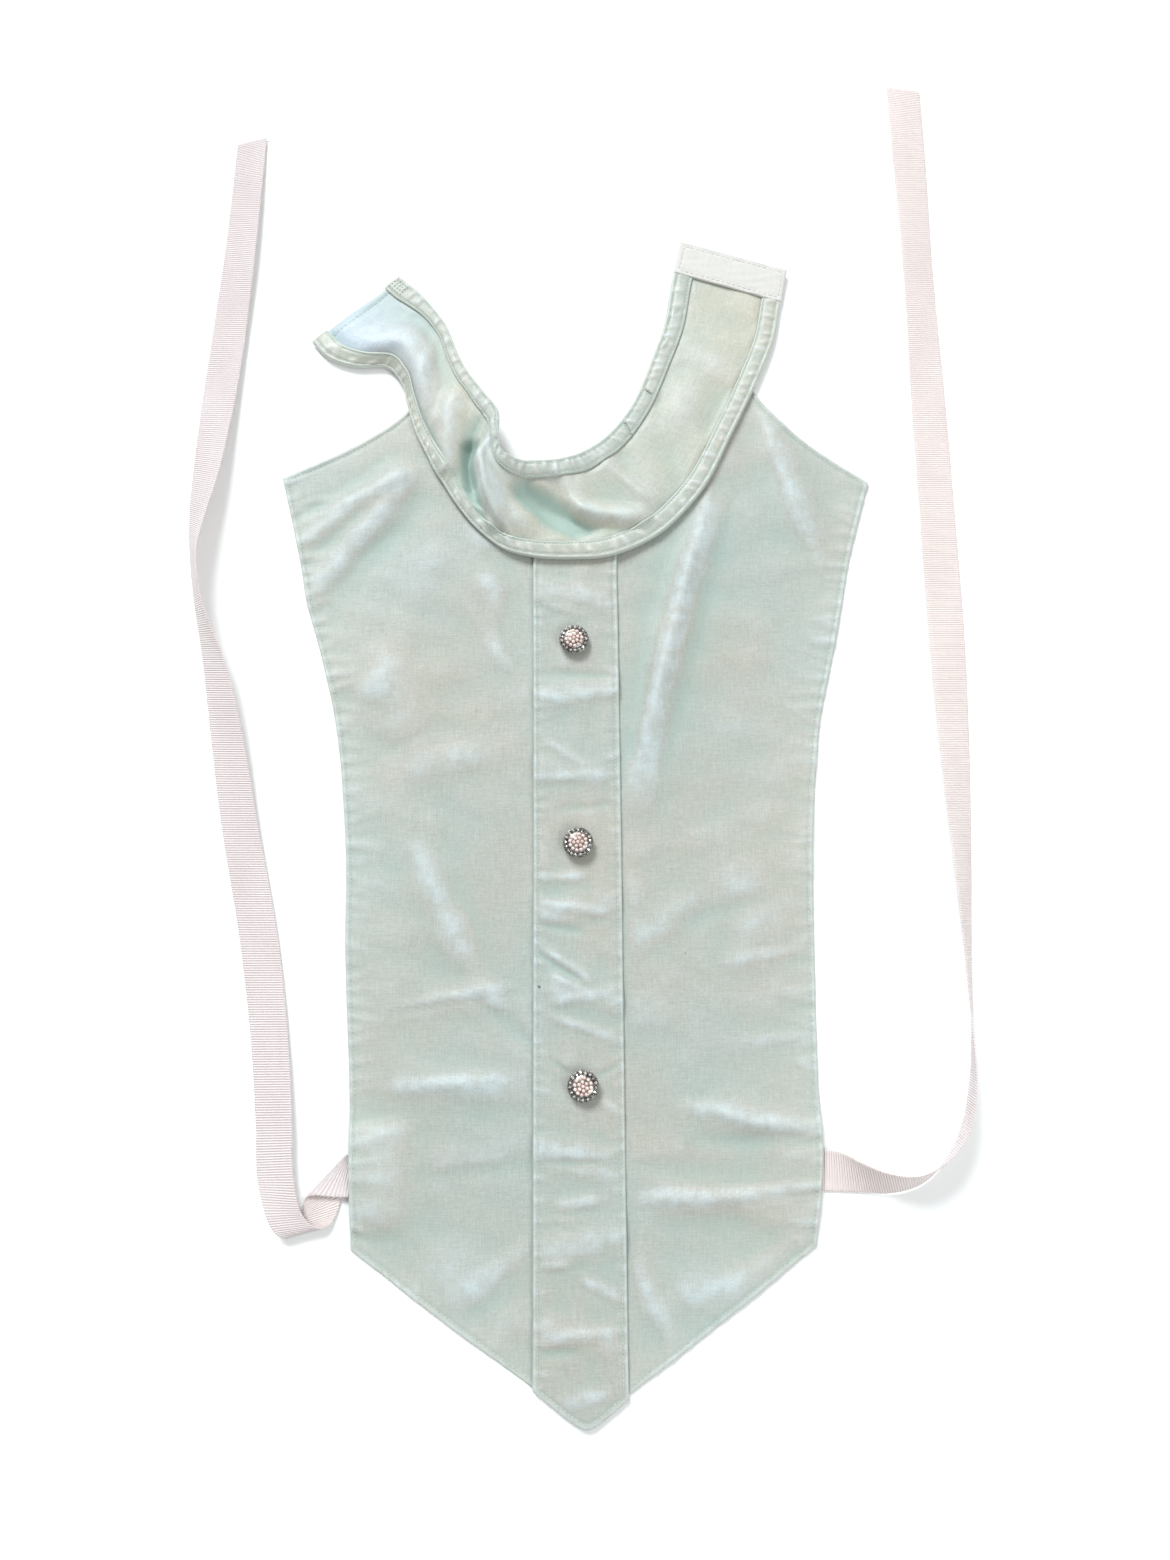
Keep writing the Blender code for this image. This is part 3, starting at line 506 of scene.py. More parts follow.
# Finer ripples of the placket
PLACKET_CREASES = (
    # name, start_x, start_y, end_x, end_y, half_width, height
    ("neck_a", -14.0, 79.0, 6.0, 72.0, 3.4, 0.4),
    ("chest_a", -11.0, 47.0, 17.0, 44.0, 3.2, -0.4),
    ("chest_b", -16.0, 36.5, -2.0, 34.5, 2.6, 0.45),
    ("chest_c", 0.0, 36.0, 17.0, 38.5, 2.8, 0.45),
    ("rib_a", -14.0, 17.0, 5.0, 6.0, 3.2, 0.5),
    ("rib_b", -18.0, 0.0, 18.0, 2.0, 2.8, 0.45),
    ("rib_c", -8.0, -13.0, 16.0, -11.0, 2.6, -0.35),
    ("waist_a", -17.0, -42.5, 4.0, -41.0, 2.8, 0.5),
    ("waist_b", -17.0, -52.0, 15.0, -57.5, 2.8, 0.6),
    ("waist_c", -17.0, -61.0, 3.0, -65.0, 2.6, -0.5),
    ("belly_a", -17.0, -70.0, 5.0, -84.0, 2.6, 0.8),
    ("belly_shade", -16.0, -74.0, 3.0, -87.0, 2.4, -0.5),
    ("belly_b", -12.0, -82.0, -1.0, -87.0, 2.2, 0.5),
    ("belly_c", -11.0, -93.5, 10.0, -89.5, 2.6, 0.6),
    ("belly_d", -13.0, -98.5, 17.0, -108.5, 2.8, 0.7),
    ("pull_left", -11.5, -117.0, -4.5, -121.3, 1.5, -0.7),
    ("pull_right", 5.5, -123.0, 16.5, -118.3, 1.5, -0.7),
    ("pull_low", 7.0, -131.0, 15.5, -138.0, 2.2, 0.6),
    ("tie_line", -18.0, -155.5, 17.0, -157.0, 3.2, -0.8),
    ("low_a", -12.0, -173.0, 8.0, -170.0, 3.4, 0.8),
    ("low_b", -18.0, -178.0, 2.0, -177.0, 2.6, 0.4),
    ("low_c", -18.0, -195.0, -5.0, -194.0, 2.6, 0.5),
    ("low_d", -2.0, -199.5, 15.0, -207.5, 3.0, 0.7),
    ("foot_a", -11.0, -221.0, 12.0, -219.5, 3.0, 0.8),
    ("foot_b", -20.0, -227.0, -2.0, -226.5, 3.0, -0.6),
    ("foot_c", -9.0, -244.0, 11.0, -241.5, 4.0, 0.7),
)

PLACKET_ROWS = (
    # name, y, left_x, right_x
    ("foot", -256.0, -21.0, 16.3),
    ("button", -126.0, -19.6, 17.5),
    ("waist", -28.0, -18.5, 18.6),
    ("top", 104.0, -17.5, 19.6),
)

LEFT_TIE_ROWS = (
    # name, near_x, near_y, near_z, far_x, far_y, far_z
    ("sewn_end", -84.5, -151.6, 1.95, -84.5, -167.6, 1.95),
    ("hem", -93.3, -151.6, 1.95, -98.0, -167.6, 1.95),
    ("fold_above", -94.7, -151.7, 1.95, -109.4, -167.0, 1.95),
    ("fold", -95.6, -152.6, 1.2, -110.8, -168.0, 1.2),
    ("fold_below", -95.6, -154.2, 0.5, -111.2, -169.6, 0.5),
    ("turn_start", -97.2, -171.5, 0.5, -112.2, -176.0, 0.5),
    ("turn_low", -99.0, -176.0, 1.1, -113.8, -180.2, 1.2),
    ("turn_edge", -101.4, -178.6, 2.7, -117.2, -182.6, 2.9),
    ("turn_high", -105.4, -178.4, 4.3, -121.0, -180.6, 4.6),
    ("turn_end", -110.2, -174.4, 4.6, -124.6, -175.2, 4.6),
    ("turn_out", -112.9, -168.7, 4.4, -127.4, -167.7, 3.4),
    ("foot", -115.0, -158.6, 4.2, -129.8, -159.1, 1.6),
    ("low", -116.1, -140.8, 3.6, -131.3, -141.0, 0.5),
    ("low_flat", -118.4, -113.2, 2.2, -133.8, -113.1, 0.5),
    ("flat", -124.3, -68.0, 1.0, -140.3, -67.7, 0.5),
    ("waist", -134.9, -15.3, 2.4, -150.7, -14.7, 0.5),
    ("rise", -143.9, 32.4, 7.0, -158.3, 34.4, 0.5),
    ("lean", -148.6, 51.2, 9.6, -161.2, 54.1, 0.5),
    ("stand", -159.7, 81.8, 13.8, -166.8, 85.0, 0.5),
    ("stood", -162.2, 101.8, 13.7, -169.4, 105.0, 0.5),
    ("settle", -159.4, 122.0, 11.0, -170.4, 124.7, 0.5),
    ("settled", -156.2, 138.0, 8.6, -169.8, 140.2, 0.5),
    ("lying", -152.4, 166.8, 4.8, -167.8, 169.0, 0.5),
    ("bend", -148.6, 204.4, 2.6, -164.4, 205.4, 0.5),
    ("upper", -144.4, 261.5, 3.4, -158.9, 264.5, 0.8),
    ("free_end", -142.4, 314.6, 0.6, -156.2, 310.8, 0.5),
)

RIGHT_TIE_ROWS = (
    # name, near_x, near_y, near_z, far_x, far_y, far_z
    ("sewn_end", 85.0, -152.6, 0.5, 85.0, -168.6, 0.5),
    ("hem", 96.2, -152.8, 0.6, 95.2, -168.8, 0.5),
    ("out", 103.8, -154.0, 4.0, 104.9, -169.2, 0.5),
    ("lift", 109.8, -157.0, 8.6, 113.2, -169.7, 0.5),
    ("lean", 117.0, -160.2, 12.0, 121.2, -170.2, 0.5),
    ("stand", 130.6, -162.0, 15.0, 135.0, -166.9, 0.5),
    ("turn", 142.0, -156.6, 16.0, 145.4, -157.8, 0.5),
    ("turn_up", 150.6, -146.6, 16.2, 152.6, -145.6, 0.5),
    ("edge_low", 155.0, -130.2, 16.2, 157.2, -129.3, 0.5),
    ("edge", 155.6, -106.4, 15.7, 160.2, -106.7, 0.5),
    ("edge_high", 155.2, -75.0, 14.8, 162.4, -74.6, 0.5),
    ("fall", 154.5, -39.8, 12.2, 165.3, -38.5, 0.5),
    ("waist", 154.0, 11.4, 7.0, 168.5, 12.7, 0.5),
    ("flat", 154.4, 56.0, 2.7, 170.2, 56.4, 0.5),
    ("chest", 154.7, 123.7, 2.2, 170.5, 124.4, 0.5),
    ("neck", 154.6, 170.2, 2.8, 170.4, 171.0, 0.5),
    ("upper", 154.9, 238.0, 5.2, 169.6, 240.4, 0.5),
    ("high", 154.8, 293.8, 2.6, 170.4, 295.0, 0.5),
    ("free_end", 154.9, 336.6, 0.7, 170.4, 334.2, 0.5),
)

# Half section of a button under its pearls and stones
BUTTON_PROFILE = (
    # name, radius, height
    ("foot", 0.0, 0.0),
    ("shank_foot", 1.7, 0.0),
    ("shank_neck", 1.5, 0.7),
    ("shank_top", 1.9, 1.5),
    ("back", 5.0, 1.7),
    ("back_edge", 5.9, 1.95),
    ("rim_low", 6.3, 2.35),
    ("rim", 6.35, 2.7),
    ("rim_high", 6.15, 3.05),
    ("seat_edge", 5.95, 3.1),
    ("seat_low", 5.7, 2.95),
    ("seat_high", 4.75, 3.5),
    ("collar_low", 4.6, 3.75),
    ("collar_high", 4.4, 3.95),
    ("shoulder", 3.4, 4.4),
    ("dome", 1.8, 4.75),
    ("crown", 0.0, 4.85),
)

BUTTONS = (
    # name, x, y, turn
    ("button_top", 0.0, 61.0, 0.35),
    ("button_middle", 0.3, -27.6, 0.1),
    ("button_bottom", 0.7, -126.3, 0.62),
)

# Rings of pearls: how many, how far out, how high
PEARL_RINGS = (
    # count, radius, height, first
    (1, 0.0, 4.95, 0.0),
    (6, 1.72, 4.8, 0.0),
    (12, 3.36, 4.3, 0.26),
)

# Stones, and the claws and beads between and around them
STONE_COUNT = 17
STONE_RING = 5.22
STONE_HEIGHT = 3.45
STONE_TILT = 0.62
STONE_SWAY = 0.14
STONE_STRETCH = (0.9, 1.12)
CLAW_TILT = 0.5
CLAW_RINGS = (
    # form, ring, height
    ("bead", 5.95, 3.25),
    ("claw", 5.22, 3.72),
    ("bead", 4.5, 4.05),
)
RIM_BEADS = 42
RIM_RING = 6.18
RIM_HEIGHT = 2.75

# Radius, sides, rings and stretch of each small ball
PEARL = (0.78, 16, 9)
BEAD = (0.26, 8, 5)
CLAW = (0.3, 8, 5, 1.5)

# Radius, height and sides of a stone, and its half section as shares of the first two
STONE = (0.74, 0.75, 8)
GEM_PROFILE = (
    ("culet", 0.0, -0.6),
    ("girdle", 1.0, 0.0),
    ("crown", 0.97, 0.16),
    ("table_edge", 0.55, 0.8),
    ("table", 0.0, 0.8),
)

# Marks on the cloth
PLACKET_SPECKS = (
    # x, y, radius, darkness
    (-16.7, -86.7, 0.75, 0.93),
    (0.8, -151.5, 0.3, 0.4),
)
FRONT_SPECKS = (
    # x, y, radius, darkness
    (44.1, -73.9, 0.45, 0.5),
)
TIE_SPECKS = (
    # x, y, radius, darkness
    (-156.2, 262.3, 0.9, 0.6),
)


def columns(rows):
    """A table's numbers without its names."""
    return np.array([row[1:] for row in rows], dtype=float)


def smooth(knots, values, at):
    """Values on the smooth curve through a table's rows, at the stations asked for."""
    at = np.asarray(at, dtype=float)
    slopes = np.gradient(values, knots, axis=0)
    row = np.clip(np.searchsorted(knots, at, side="right") - 1, 0, len(knots) - 2)
    span = knots[row + 1] - knots[row]
    t = ((at - knots[row]) / span)[..., None]
    span = span[..., None]
    start = (2 * t**3 - 3 * t**2 + 1) * values[row] + (t**3 - 2 * t**2 + t) * span * slopes[row]
    end = (3 * t**2 - 2 * t**3) * values[row + 1] + (t**3 - t**2) * span * slopes[row + 1]
    return start + end


def ease(value, limits):
    """0 below the lower limit and 1 above the upper one, with a smooth rise between."""
    t = np.clip((value - limits[0]) / (limits[1] - limits[0]), 0.0, 1.0)
    return t * t * (3 - 2 * t)


def bell(value, centre, width):
    """1 at the centre, falling softly to 0 on both sides."""
    return np.exp(-(((value - centre) / width) ** 2))


def tapered(along):
    """Share of a fold's height by the share of the way along it, small at both ends."""
    return np.sqrt(np.sin(math.pi * np.clip(along, FOLD_END, 1 - FOLD_END)))


def crisp_form(share, power):
    """Share of a fold's height by the share of its width: a narrow crest and a wide foot."""
    return (1 - (np.sqrt(share**2 + CREST_SOFT) - CREST_SOFT**0.5) / CREST_SPAN) ** power


def ridges(x, y, rows, fade=0.0, crisp=0.0, longer=0.0):
    """Height that rows of ridges add: fade 1 tapers both ends, -1 the far end alone.

    Crisp narrows the crest and spreads the foot, and longer adds a share of the run at each end.
    """
    height = np.zeros(np.broadcast(x, y).shape)
    for start_x, start_y, end_x, end_y, half_width, rise in rows:
        run_x = (end_x - start_x) * (1 + 2 * longer)
        run_y = (end_y - start_y) * (1 + 2 * longer)
        start_x = start_x - run_x * longer / (1 + 2 * longer)
        start_y = start_y - run_y * longer / (1 + 2 * longer)
        half_width = half_width * (1 + CREST_SPREAD * crisp)
        along = ((x - start_x) * run_x + (y - start_y) * run_y) / (run_x**2 + run_y**2)
        along = np.clip(along, 0.0, 1.0)
        away = np.hypot(x - start_x - along * run_x, y - start_y - along * run_y)
        share = np.clip(away / half_width, 0.0, 1.0)
        end = 1.0
        if fade > 0:
            end = tapered(along)
        elif fade < 0:
            end = (1.0 - 0.9 * along) ** 1.2
        plain = np.cos(share * math.pi / 2) ** 2
        height += rise * end * (plain * (1 - crisp) + crisp_form(share, 2) * crisp)
    return height


def knots_along(points):
    """Distance travelled along a row of points."""
    steps = np.linalg.norm(np.diff(points, axis=0), axis=1)
    return np.concatenate(([0.0], np.cumsum(steps)))


def resample(points, step):
    """Points about one step apart along a line."""
    knots = knots_along(points)
    count = max(2, int(round(knots[-1] / step)) + 1)
    at = np.linspace(0.0, knots[-1], count)
    return np.stack([np.interp(at, knots, points[:, i]) for i in range(points.shape[1])], axis=1)


def nearest(x, y, line):
    """Distance to a line, how far along it the nearest place is, and whether it lies to its left."""
    best = np.full(np.broadcast(x, y).shape, FAR)
    place = np.zeros(best.shape)
    left = np.zeros(best.shape, dtype=bool)
    knots = knots_along(line)
    for i in range(len(line) - 1):
        run = line[i + 1] - line[i]
        length = knots[i + 1] - knots[i]
        share = ((x - line[i, 0]) * run[0] + (y - line[i, 1]) * run[1]) / length**2
        share = np.clip(share, 0.0, 1.0)
        away = np.hypot(x - line[i, 0] - share * run[0], y - line[i, 1] - share * run[1])
        closer = away < best
        best = np.where(closer, away, best)
        place = np.where(closer, knots[i] + share * length, place)
        left = np.where(closer, run[0] * (y - line[i, 1]) - run[1] * (x - line[i, 0]) > 0, left)
    return best, place, left


def bent(points):
    """A smooth line through a fold's points."""
    points = np.array(points)
    knots = knots_along(points)
    count = int(knots[-1] / BEND_STEP) + 2
    return smooth(knots, points, np.linspace(0.0, knots[-1], count))


def bends(x, y, rows):
    """Height of folds that bend and fade at both ends."""
    height = np.zeros(np.broadcast(x, y).shape)
    for line, left_width, right_width, rise in rows:
        away, along, left = nearest(x, y, line)
        share = np.clip(away / np.where(left, left_width, right_width), 0.0, 1.0)
        height += rise * tapered(along / knots_along(line)[-1]) * crisp_form(share, BEND_POWER)
    return height


def puckers(length, pitch, reach, rise, seed):
    """Short uneven ridges that run inwards from a sewn edge, in distance along and in."""
    chance = np.random.default_rng(seed)
    rows = []
    at = pitch * PUCKER_FIRST
    while at < length:
        deep = reach * chance.uniform(*PUCKER_DEPTH)
        lean = deep * chance.uniform(*PUCKER_LEAN)
        width = pitch * chance.uniform(*PUCKER_WIDTH)
        high = rise * chance.uniform(*PUCKER_RISE)
        rows.append((at, PUCKER_START, at + lean, PUCKER_START + deep, width, high))
        at += pitch * chance.uniform(*PUCKER_GAP)
    return rows


def unevenness(x, y, size, seed):
    """Soft seeded waves about one size long, between about -1 and 1."""
    chance = np.random.default_rng(seed)
    total = np.zeros(np.broadcast(x, y).shape)
    for _ in range(WAVE_COUNT):
        angle = chance.uniform(0.0, 2 * math.pi)
        wave = 2 * math.pi / (size * chance.uniform(*WAVE_SIZES))
        phase = chance.uniform(0.0, 2 * math.pi)
        total += np.sin((x * math.cos(angle) + y * math.sin(angle)) * wave + phase)
    return total / WAVE_SCALE


def rounded(from_edge):
    """How far the top of a hem drops towards its edge."""
    share = 1.0 - np.clip(from_edge / EDGE_ROUND, 0.0, 1.0)
    return (WALL - EDGE_WALL) * (1.0 - np.sqrt(1.0 - share**2))


def hem_form(from_edge, stitch=HEM_STITCH, puff=0.22, pull=0.3):
    """The folded hem's roll, and the groove that its stitches pull."""
    roll = puff * bell(from_edge, stitch * 0.5, stitch * 0.42)
    return roll - pull * bell(from_edge, stitch, 0.55)


# Looks


def link(tree, source, target):
    """Join two sockets, or set a socket that is given a number or a colour."""
    if hasattr(source, "is_output"):
        tree.links.new(source, target)
    else:
        target.default_value = source


def calc(tree, operation, first, second=0.0):
    """One step of arithmetic on one or two numbers."""
    node = tree.nodes.new("ShaderNodeMath")
    node.operation = operation
    link(tree, first, node.inputs[0])
    link(tree, second, node.inputs[1])
    return node.outputs[0]


def ranged(tree, value, low, high, to_low=0.0, to_high=1.0):
    """A number moved from one range to another."""
    node = tree.nodes.new("ShaderNodeMapRange")
    link(tree, value, node.inputs["Value"])
    node.inputs["From Min"].default_value = low
    node.inputs["From Max"].default_value = high
    node.inputs["To Min"].default_value = to_low
    node.inputs["To Max"].default_value = to_high
    return node.outputs["Result"]


def blend_colours(tree, share, first, second, kind="MIX"):
    """A colour between two, each of which is a socket or three numbers."""
    node = tree.nodes.new("ShaderNodeMix")
    node.data_type = "RGBA"
    node.blend_type = kind
    link(tree, share, node.inputs[0])
    for colour, socket in ((first, node.inputs[6]), (second, node.inputs[7])):
        link(tree, colour if hasattr(colour, "is_output") else (*colour, 1.0), socket)
    return node.outputs[2]


def noise(tree, vector, scale, detail=2.0, stretch=(1.0, 1.0, 1.0)):
    """Seeded noise, longer along an axis where its stretch is small."""
    mapping = tree.nodes.new("ShaderNodeMapping")
    mapping.inputs["Scale"].default_value = stretch
    link(tree, vector, mapping.inputs["Vector"])
    node = tree.nodes.new("ShaderNodeTexNoise")
    node.inputs["Scale"].default_value = scale
    node.inputs["Detail"].default_value = detail
    link(tree, mapping.outputs["Vector"], node.inputs["Vector"])
    return node.outputs[0]


def cosine(tree, value, pitch):
    """A wave of one pitch along a coordinate."""
    return calc(tree, "COSINE", calc(tree, "MULTIPLY", value, 2 * math.pi / pitch))


def axes(tree, vector):
    """The three numbers of a place."""
    node = tree.nodes.new("ShaderNodeSeparateXYZ")
    link(tree, vector, node.inputs[0])
    return node.outputs


def mark_on(tree, name):
    """A mark that is stored on the cloth's points."""
    node = tree.nodes.new("ShaderNodeAttribute")
    node.attribute_name = name
    return node.outputs["Fac"]


def start_look(name):
    """A new material, its nodes, the cloth's own coordinates and the model's."""
    material = bpy.data.materials.new(name)
    material.use_nodes = True
    tree = material.node_tree
    along = tree.nodes.new("ShaderNodeUVMap")
    along.uv_map = "cloth"
    place = tree.nodes.new("ShaderNodeTexCoord")
    return material, tree, along.outputs["UV"], place.outputs["Object"]


def finish_look(material, colour, roughness, settings, height=None, bump=(0.0, 0.0)):
    """Give the shader its colour, roughness and plain settings, and its relief if it has one."""
    tree = material.node_tree
    shader = tree.nodes["Principled BSDF"]
    link(tree, colour, shader.inputs["Base Color"])
    link(tree, roughness, shader.inputs["Roughness"])
    for socket, value in settings.items():
        shader.inputs[socket].default_value = value
    if height is not None:
        node = tree.nodes.new("ShaderNodeBump")
        node.inputs["Strength"].default_value = bump[0]
        node.inputs["Distance"].default_value = bump[1]
        link(tree, height, node.inputs["Height"])
        link(tree, node.outputs["Normal"], shader.inputs["Normal"])
    return material


def specks(tree, colour, place, marks, stain):
    """Small round marks at their places on the cloth."""
    for x, y, radius, darkness in marks:
        flat = tree.nodes.new("ShaderNodeVectorMath")
        flat.operation = "MULTIPLY"
        flat.inputs[1].default_value = (1.0, 1.0, 0.0)
        link(tree, place, flat.inputs[0])
        away = tree.nodes.new("ShaderNodeVectorMath")
        away.operation = "DISTANCE"
        away.inputs[1].default_value = (x * MM, y * MM, 0.0)
        link(tree, flat.outputs[0], away.inputs[0])
        full = radius * SPECK_CORE
        inside = ranged(tree, away.outputs["Value"], full * MM, radius * MM, darkness, 0.0)
        colour = blend_colours(tree, inside, colour, stain)
    return colour


def cloth_look(name, marks=(), end=None):
    """Closely woven cotton sateen: crossing threads, slubs, cooler and warmer patches, with painted
    shade in grooves and hollows and painted highlights on fold crests.
    """
    cool, warm, roughness, sheen, lustre, depth = CLOTH_LOOKS[name]
    material, tree, along, place = start_look(name)
    weft, warp, _ = axes(tree, along)
    weave = calc(tree, "MULTIPLY", cosine(tree, weft, WEAVE_PITCH), cosine(tree, warp, WEAVE_PITCH))
    slub_across = noise(tree, along, 1.0, 3.0, (0.11, 2.1, 1.0))
    slub_along = noise(tree, along, 1.0, 3.0, (2.1, 0.11, 1.0))
    slubs = calc(tree, "ADD", slub_across, slub_along)
    mottle = noise(tree, along, 1.9, 3.0)
    grain = noise(tree, along, 0.6, 3.0)
    broken = noise(tree, along, 0.16, 3.0)
    patches = ranged(tree, noise(tree, place, 15.0, 4.0), 0.36, 0.64)
    colour = blend_colours(tree, patches, cool, warm)
    if end:
        start_x, end_x, bluish = end
        toward = ranged(tree, axes(tree, place)[0], start_x * MM, end_x * MM)
        colour = blend_colours(tree, toward, colour, bluish)
    tone = ranged(tree, slubs, 0.6, 1.4, 0.86, 1.14)
    tones = (
        # source, low, high, tone at low, tone at high
        (mottle, 0.3, 0.7, 0.90, 1.10),
        (grain, 0.3, 0.7, 0.94, 1.06),
        (weave, -1.0, 1.0, 0.96, 1.02),
    )
    for source in tones:
        tone = calc(tree, "MULTIPLY", tone, ranged(tree, *source))
    grey = tree.nodes.new("ShaderNodeCombineColor")
    for socket in grey.inputs:
        link(tree, tone, socket)
    colour = blend_colours(tree, 1.0, colour, grey.outputs[0], "MULTIPLY")
    # edge is wear; groove darkens stitch lines and the placket's sides as painted shade; low relief
    # darkens hollows teal as painted shade
    tints = (
        # mark, low, high, greatest share, colour
        ("edge", 0.0, 1.0, 0.3, (0.66, 0.73, 0.69)),
        ("groove", 0.0, 1.0, 0.22, (0.30, 0.40, 0.36)),
        ("relief", 0.2, -1.0, depth, (0.25, 0.38, 0.34)),
    )
    for mark, low, high, most, tint in tints:
        share = ranged(tree, mark_on(tree, mark), low, high, 0.0, most)
        colour = blend_colours(tree, share, colour, tint)
    # painted highlight: raised relief turns fold crests bluish white, broken up by the mottle
    crest = ranged(tree, mark_on(tree, "relief"), 0.0, 1.0, 0.0, 0.42)
    crest = calc(tree, "MULTIPLY", crest, ranged(tree, mottle, 0.36, 0.64, 0.6, 1.0))
    crest = calc(tree, "MULTIPLY", crest, ranged(tree, broken, 0.4, 0.6, 0.4, 1.0))
    colour = blend_colours(tree, crest, colour, (0.60, 0.73, 0.80))
    colour = specks(tree, colour, place, marks, (0.045, 0.05, 0.055))
    gloss = ranged(tree, slubs, 0.6, 1.4, roughness + 0.06, roughness - 0.06)
    settings = {
        "Specular IOR Level": lustre,
        "Sheen Weight": sheen,
        "Sheen Roughness": 0.4,
        "Sheen Tint": (0.86, 0.95, 1.0, 1.0),
    }
    threads = calc(tree, "ADD", calc(tree, "MULTIPLY", weave, 0.35), slubs)
    return finish_look(material, colour, gloss, settings, threads, (0.5, 0.00012))


def tape_look(name):
    """Loop tape: a whitish pile on fine ribs."""
    material, tree, along, _ = start_look(name)
    ribs = cosine(tree, axes(tree, along)[0], TAPE_RIB_PITCH)
    pile = noise(tree, along, 2.6, 4.0)
    lanes = ranged(tree, noise(tree, along, 1.0, 2.0, (1.6, 0.08, 1.0)), 0.3, 0.7)
    colour = blend_colours(tree, lanes, (0.55, 0.535, 0.505), (0.61, 0.58, 0.55))
    fuzz = ranged(tree, pile, 0.3, 0.7, 0.0, 0.35)
    colour = blend_colours(tree, fuzz, colour, (0.665, 0.65, 0.625))
    roughness = ranged(tree, pile, 0.3, 0.7, 0.75, 0.95)
    relief = calc(tree, "ADD", calc(tree, "MULTIPLY", ribs, 0.4), calc(tree, "MULTIPLY", pile, 1.6))
    return finish_look(material, colour, roughness, {"Sheen Weight": 0.5}, relief, (0.7, 0.00013))


def ribbon_look(name, light, dark, marks=()):
    """Grosgrain: a rounded rib at every pitch across the ribbon, with fine warp threads and painted
    shade in the valleys between ribs.
    """
    material, tree, along, place = start_look(name)
    across, length, _ = axes(tree, along)
    rib = cosine(tree, length, RIB_PITCH)
    warp = cosine(tree, across, WARP_PITCH)
    drift = noise(tree, along, 1.0, 3.0, (0.05, 0.03, 1.0))
    lanes = noise(tree, along, 1.0, 2.0, (1.8, 0.02, 1.0))
    tone = ranged(tree, calc(tree, "ADD", drift, calc(tree, "MULTIPLY", lanes, 0.5)), 0.5, 1.0)
    colour = blend_colours(tree, tone, light, dark)
    # painted shade: the valleys between ribs darken towards a deeper copy of the dark colour
    valley = ranged(tree, rib, -1.0, 0.2, 0.5, 0.0)
    deep = [part * share for part, share in zip(dark, (0.8, 0.78, 0.8))]
    colour = blend_colours(tree, valley, colour, deep)
    colour = specks(tree, colour, place, marks, (0.35, 0.2, 0.12))
    roughness = ranged(tree, rib, -1.0, 1.0, 0.62, 0.42)
    settings = {"Sheen Weight": 0.25, "Sheen Roughness": 0.35, "Specular IOR Level": 0.5}
    relief = calc(tree, "ADD", rib, calc(tree, "MULTIPLY", warp, 0.18))
    return finish_look(material, colour, roughness, settings, relief, (0.75, 0.00022))


def grained_look(name):
    """A look in which fine noise blends two colours and moves the roughness and the relief."""
    grain, share, first, second, gloss, settings, bump = GRAINED_LOOKS[name]
    material, tree, _, place = start_look(name)
    value = noise(tree, place, *grain)
    colour = blend_colours(tree, ranged(tree, value, *share), first, second)
    roughness = ranged(tree, value, 0.3, 0.7, *gloss)
    height = value if bump else None
    return finish_look(material, colour, roughness, settings, height, bump)


# Meshes


def grid_faces(count, width, start=0):
    """Faces between the rows of a grid of points, counter-clockwise from above."""
    i, j = np.meshgrid(np.arange(count - 1), np.arange(width - 1), indexing="ij")
    a = (start + i * width + j).ravel()
    return np.stack([a, a + 1, a + width + 1, a + width], axis=1)


def finish_mesh(name, points, faces, materials, smooth_shade=True):
    """A named object from points in millimetres."""
    mesh = bpy.data.meshes.new(name)
    mesh.from_pydata((np.asarray(points) * MM).tolist(), [], [list(face) for face in faces])
    mesh.update()
    piece = bpy.data.objects.new(name, mesh)
    for material in materials:
        mesh.materials.append(material)
    bpy.context.scene.collection.objects.link(piece)
    mesh.polygons.foreach_set("use_smooth", [smooth_shade] * len(mesh.polygons))
    return piece


def tube_faces(rings, sides):
    """Faces of a closed tube: rings of points, then a cap at each end."""
    faces = []
    for i in range(rings - 1):
        for j in range(sides):
            k = (j + 1) % sides
            faces.append(((i + 1) * sides + j, (i + 1) * sides + k, i * sides + k, i * sides + j))
    faces.append(tuple(range(sides)))
    faces.append(tuple((rings - 1) * sides + j for j in reversed(range(sides))))
    return faces


def add_layers(mesh, uv, marks):
    """The cloth's own coordinates, and the marks that its look reads: wear, groove and relief, the
    last two for painted shade in grooves and hollows and painted highlights on crests.
    """
    corner = np.empty(len(mesh.loops), dtype=np.int64)
    mesh.loops.foreach_get("vertex_index", corner)
    layer = mesh.uv_layers.new(name="cloth")
    layer.data.foreach_set("uv", uv.reshape(-1, 2)[corner].astype(np.float32).ravel())
    for label, values in zip(("edge", "groove", "relief"), marks):
        spread = mesh.attributes.new(label, "FLOAT", "POINT")
        spread.data.foreach_set("value", np.asarray(values, dtype=np.float32).ravel())


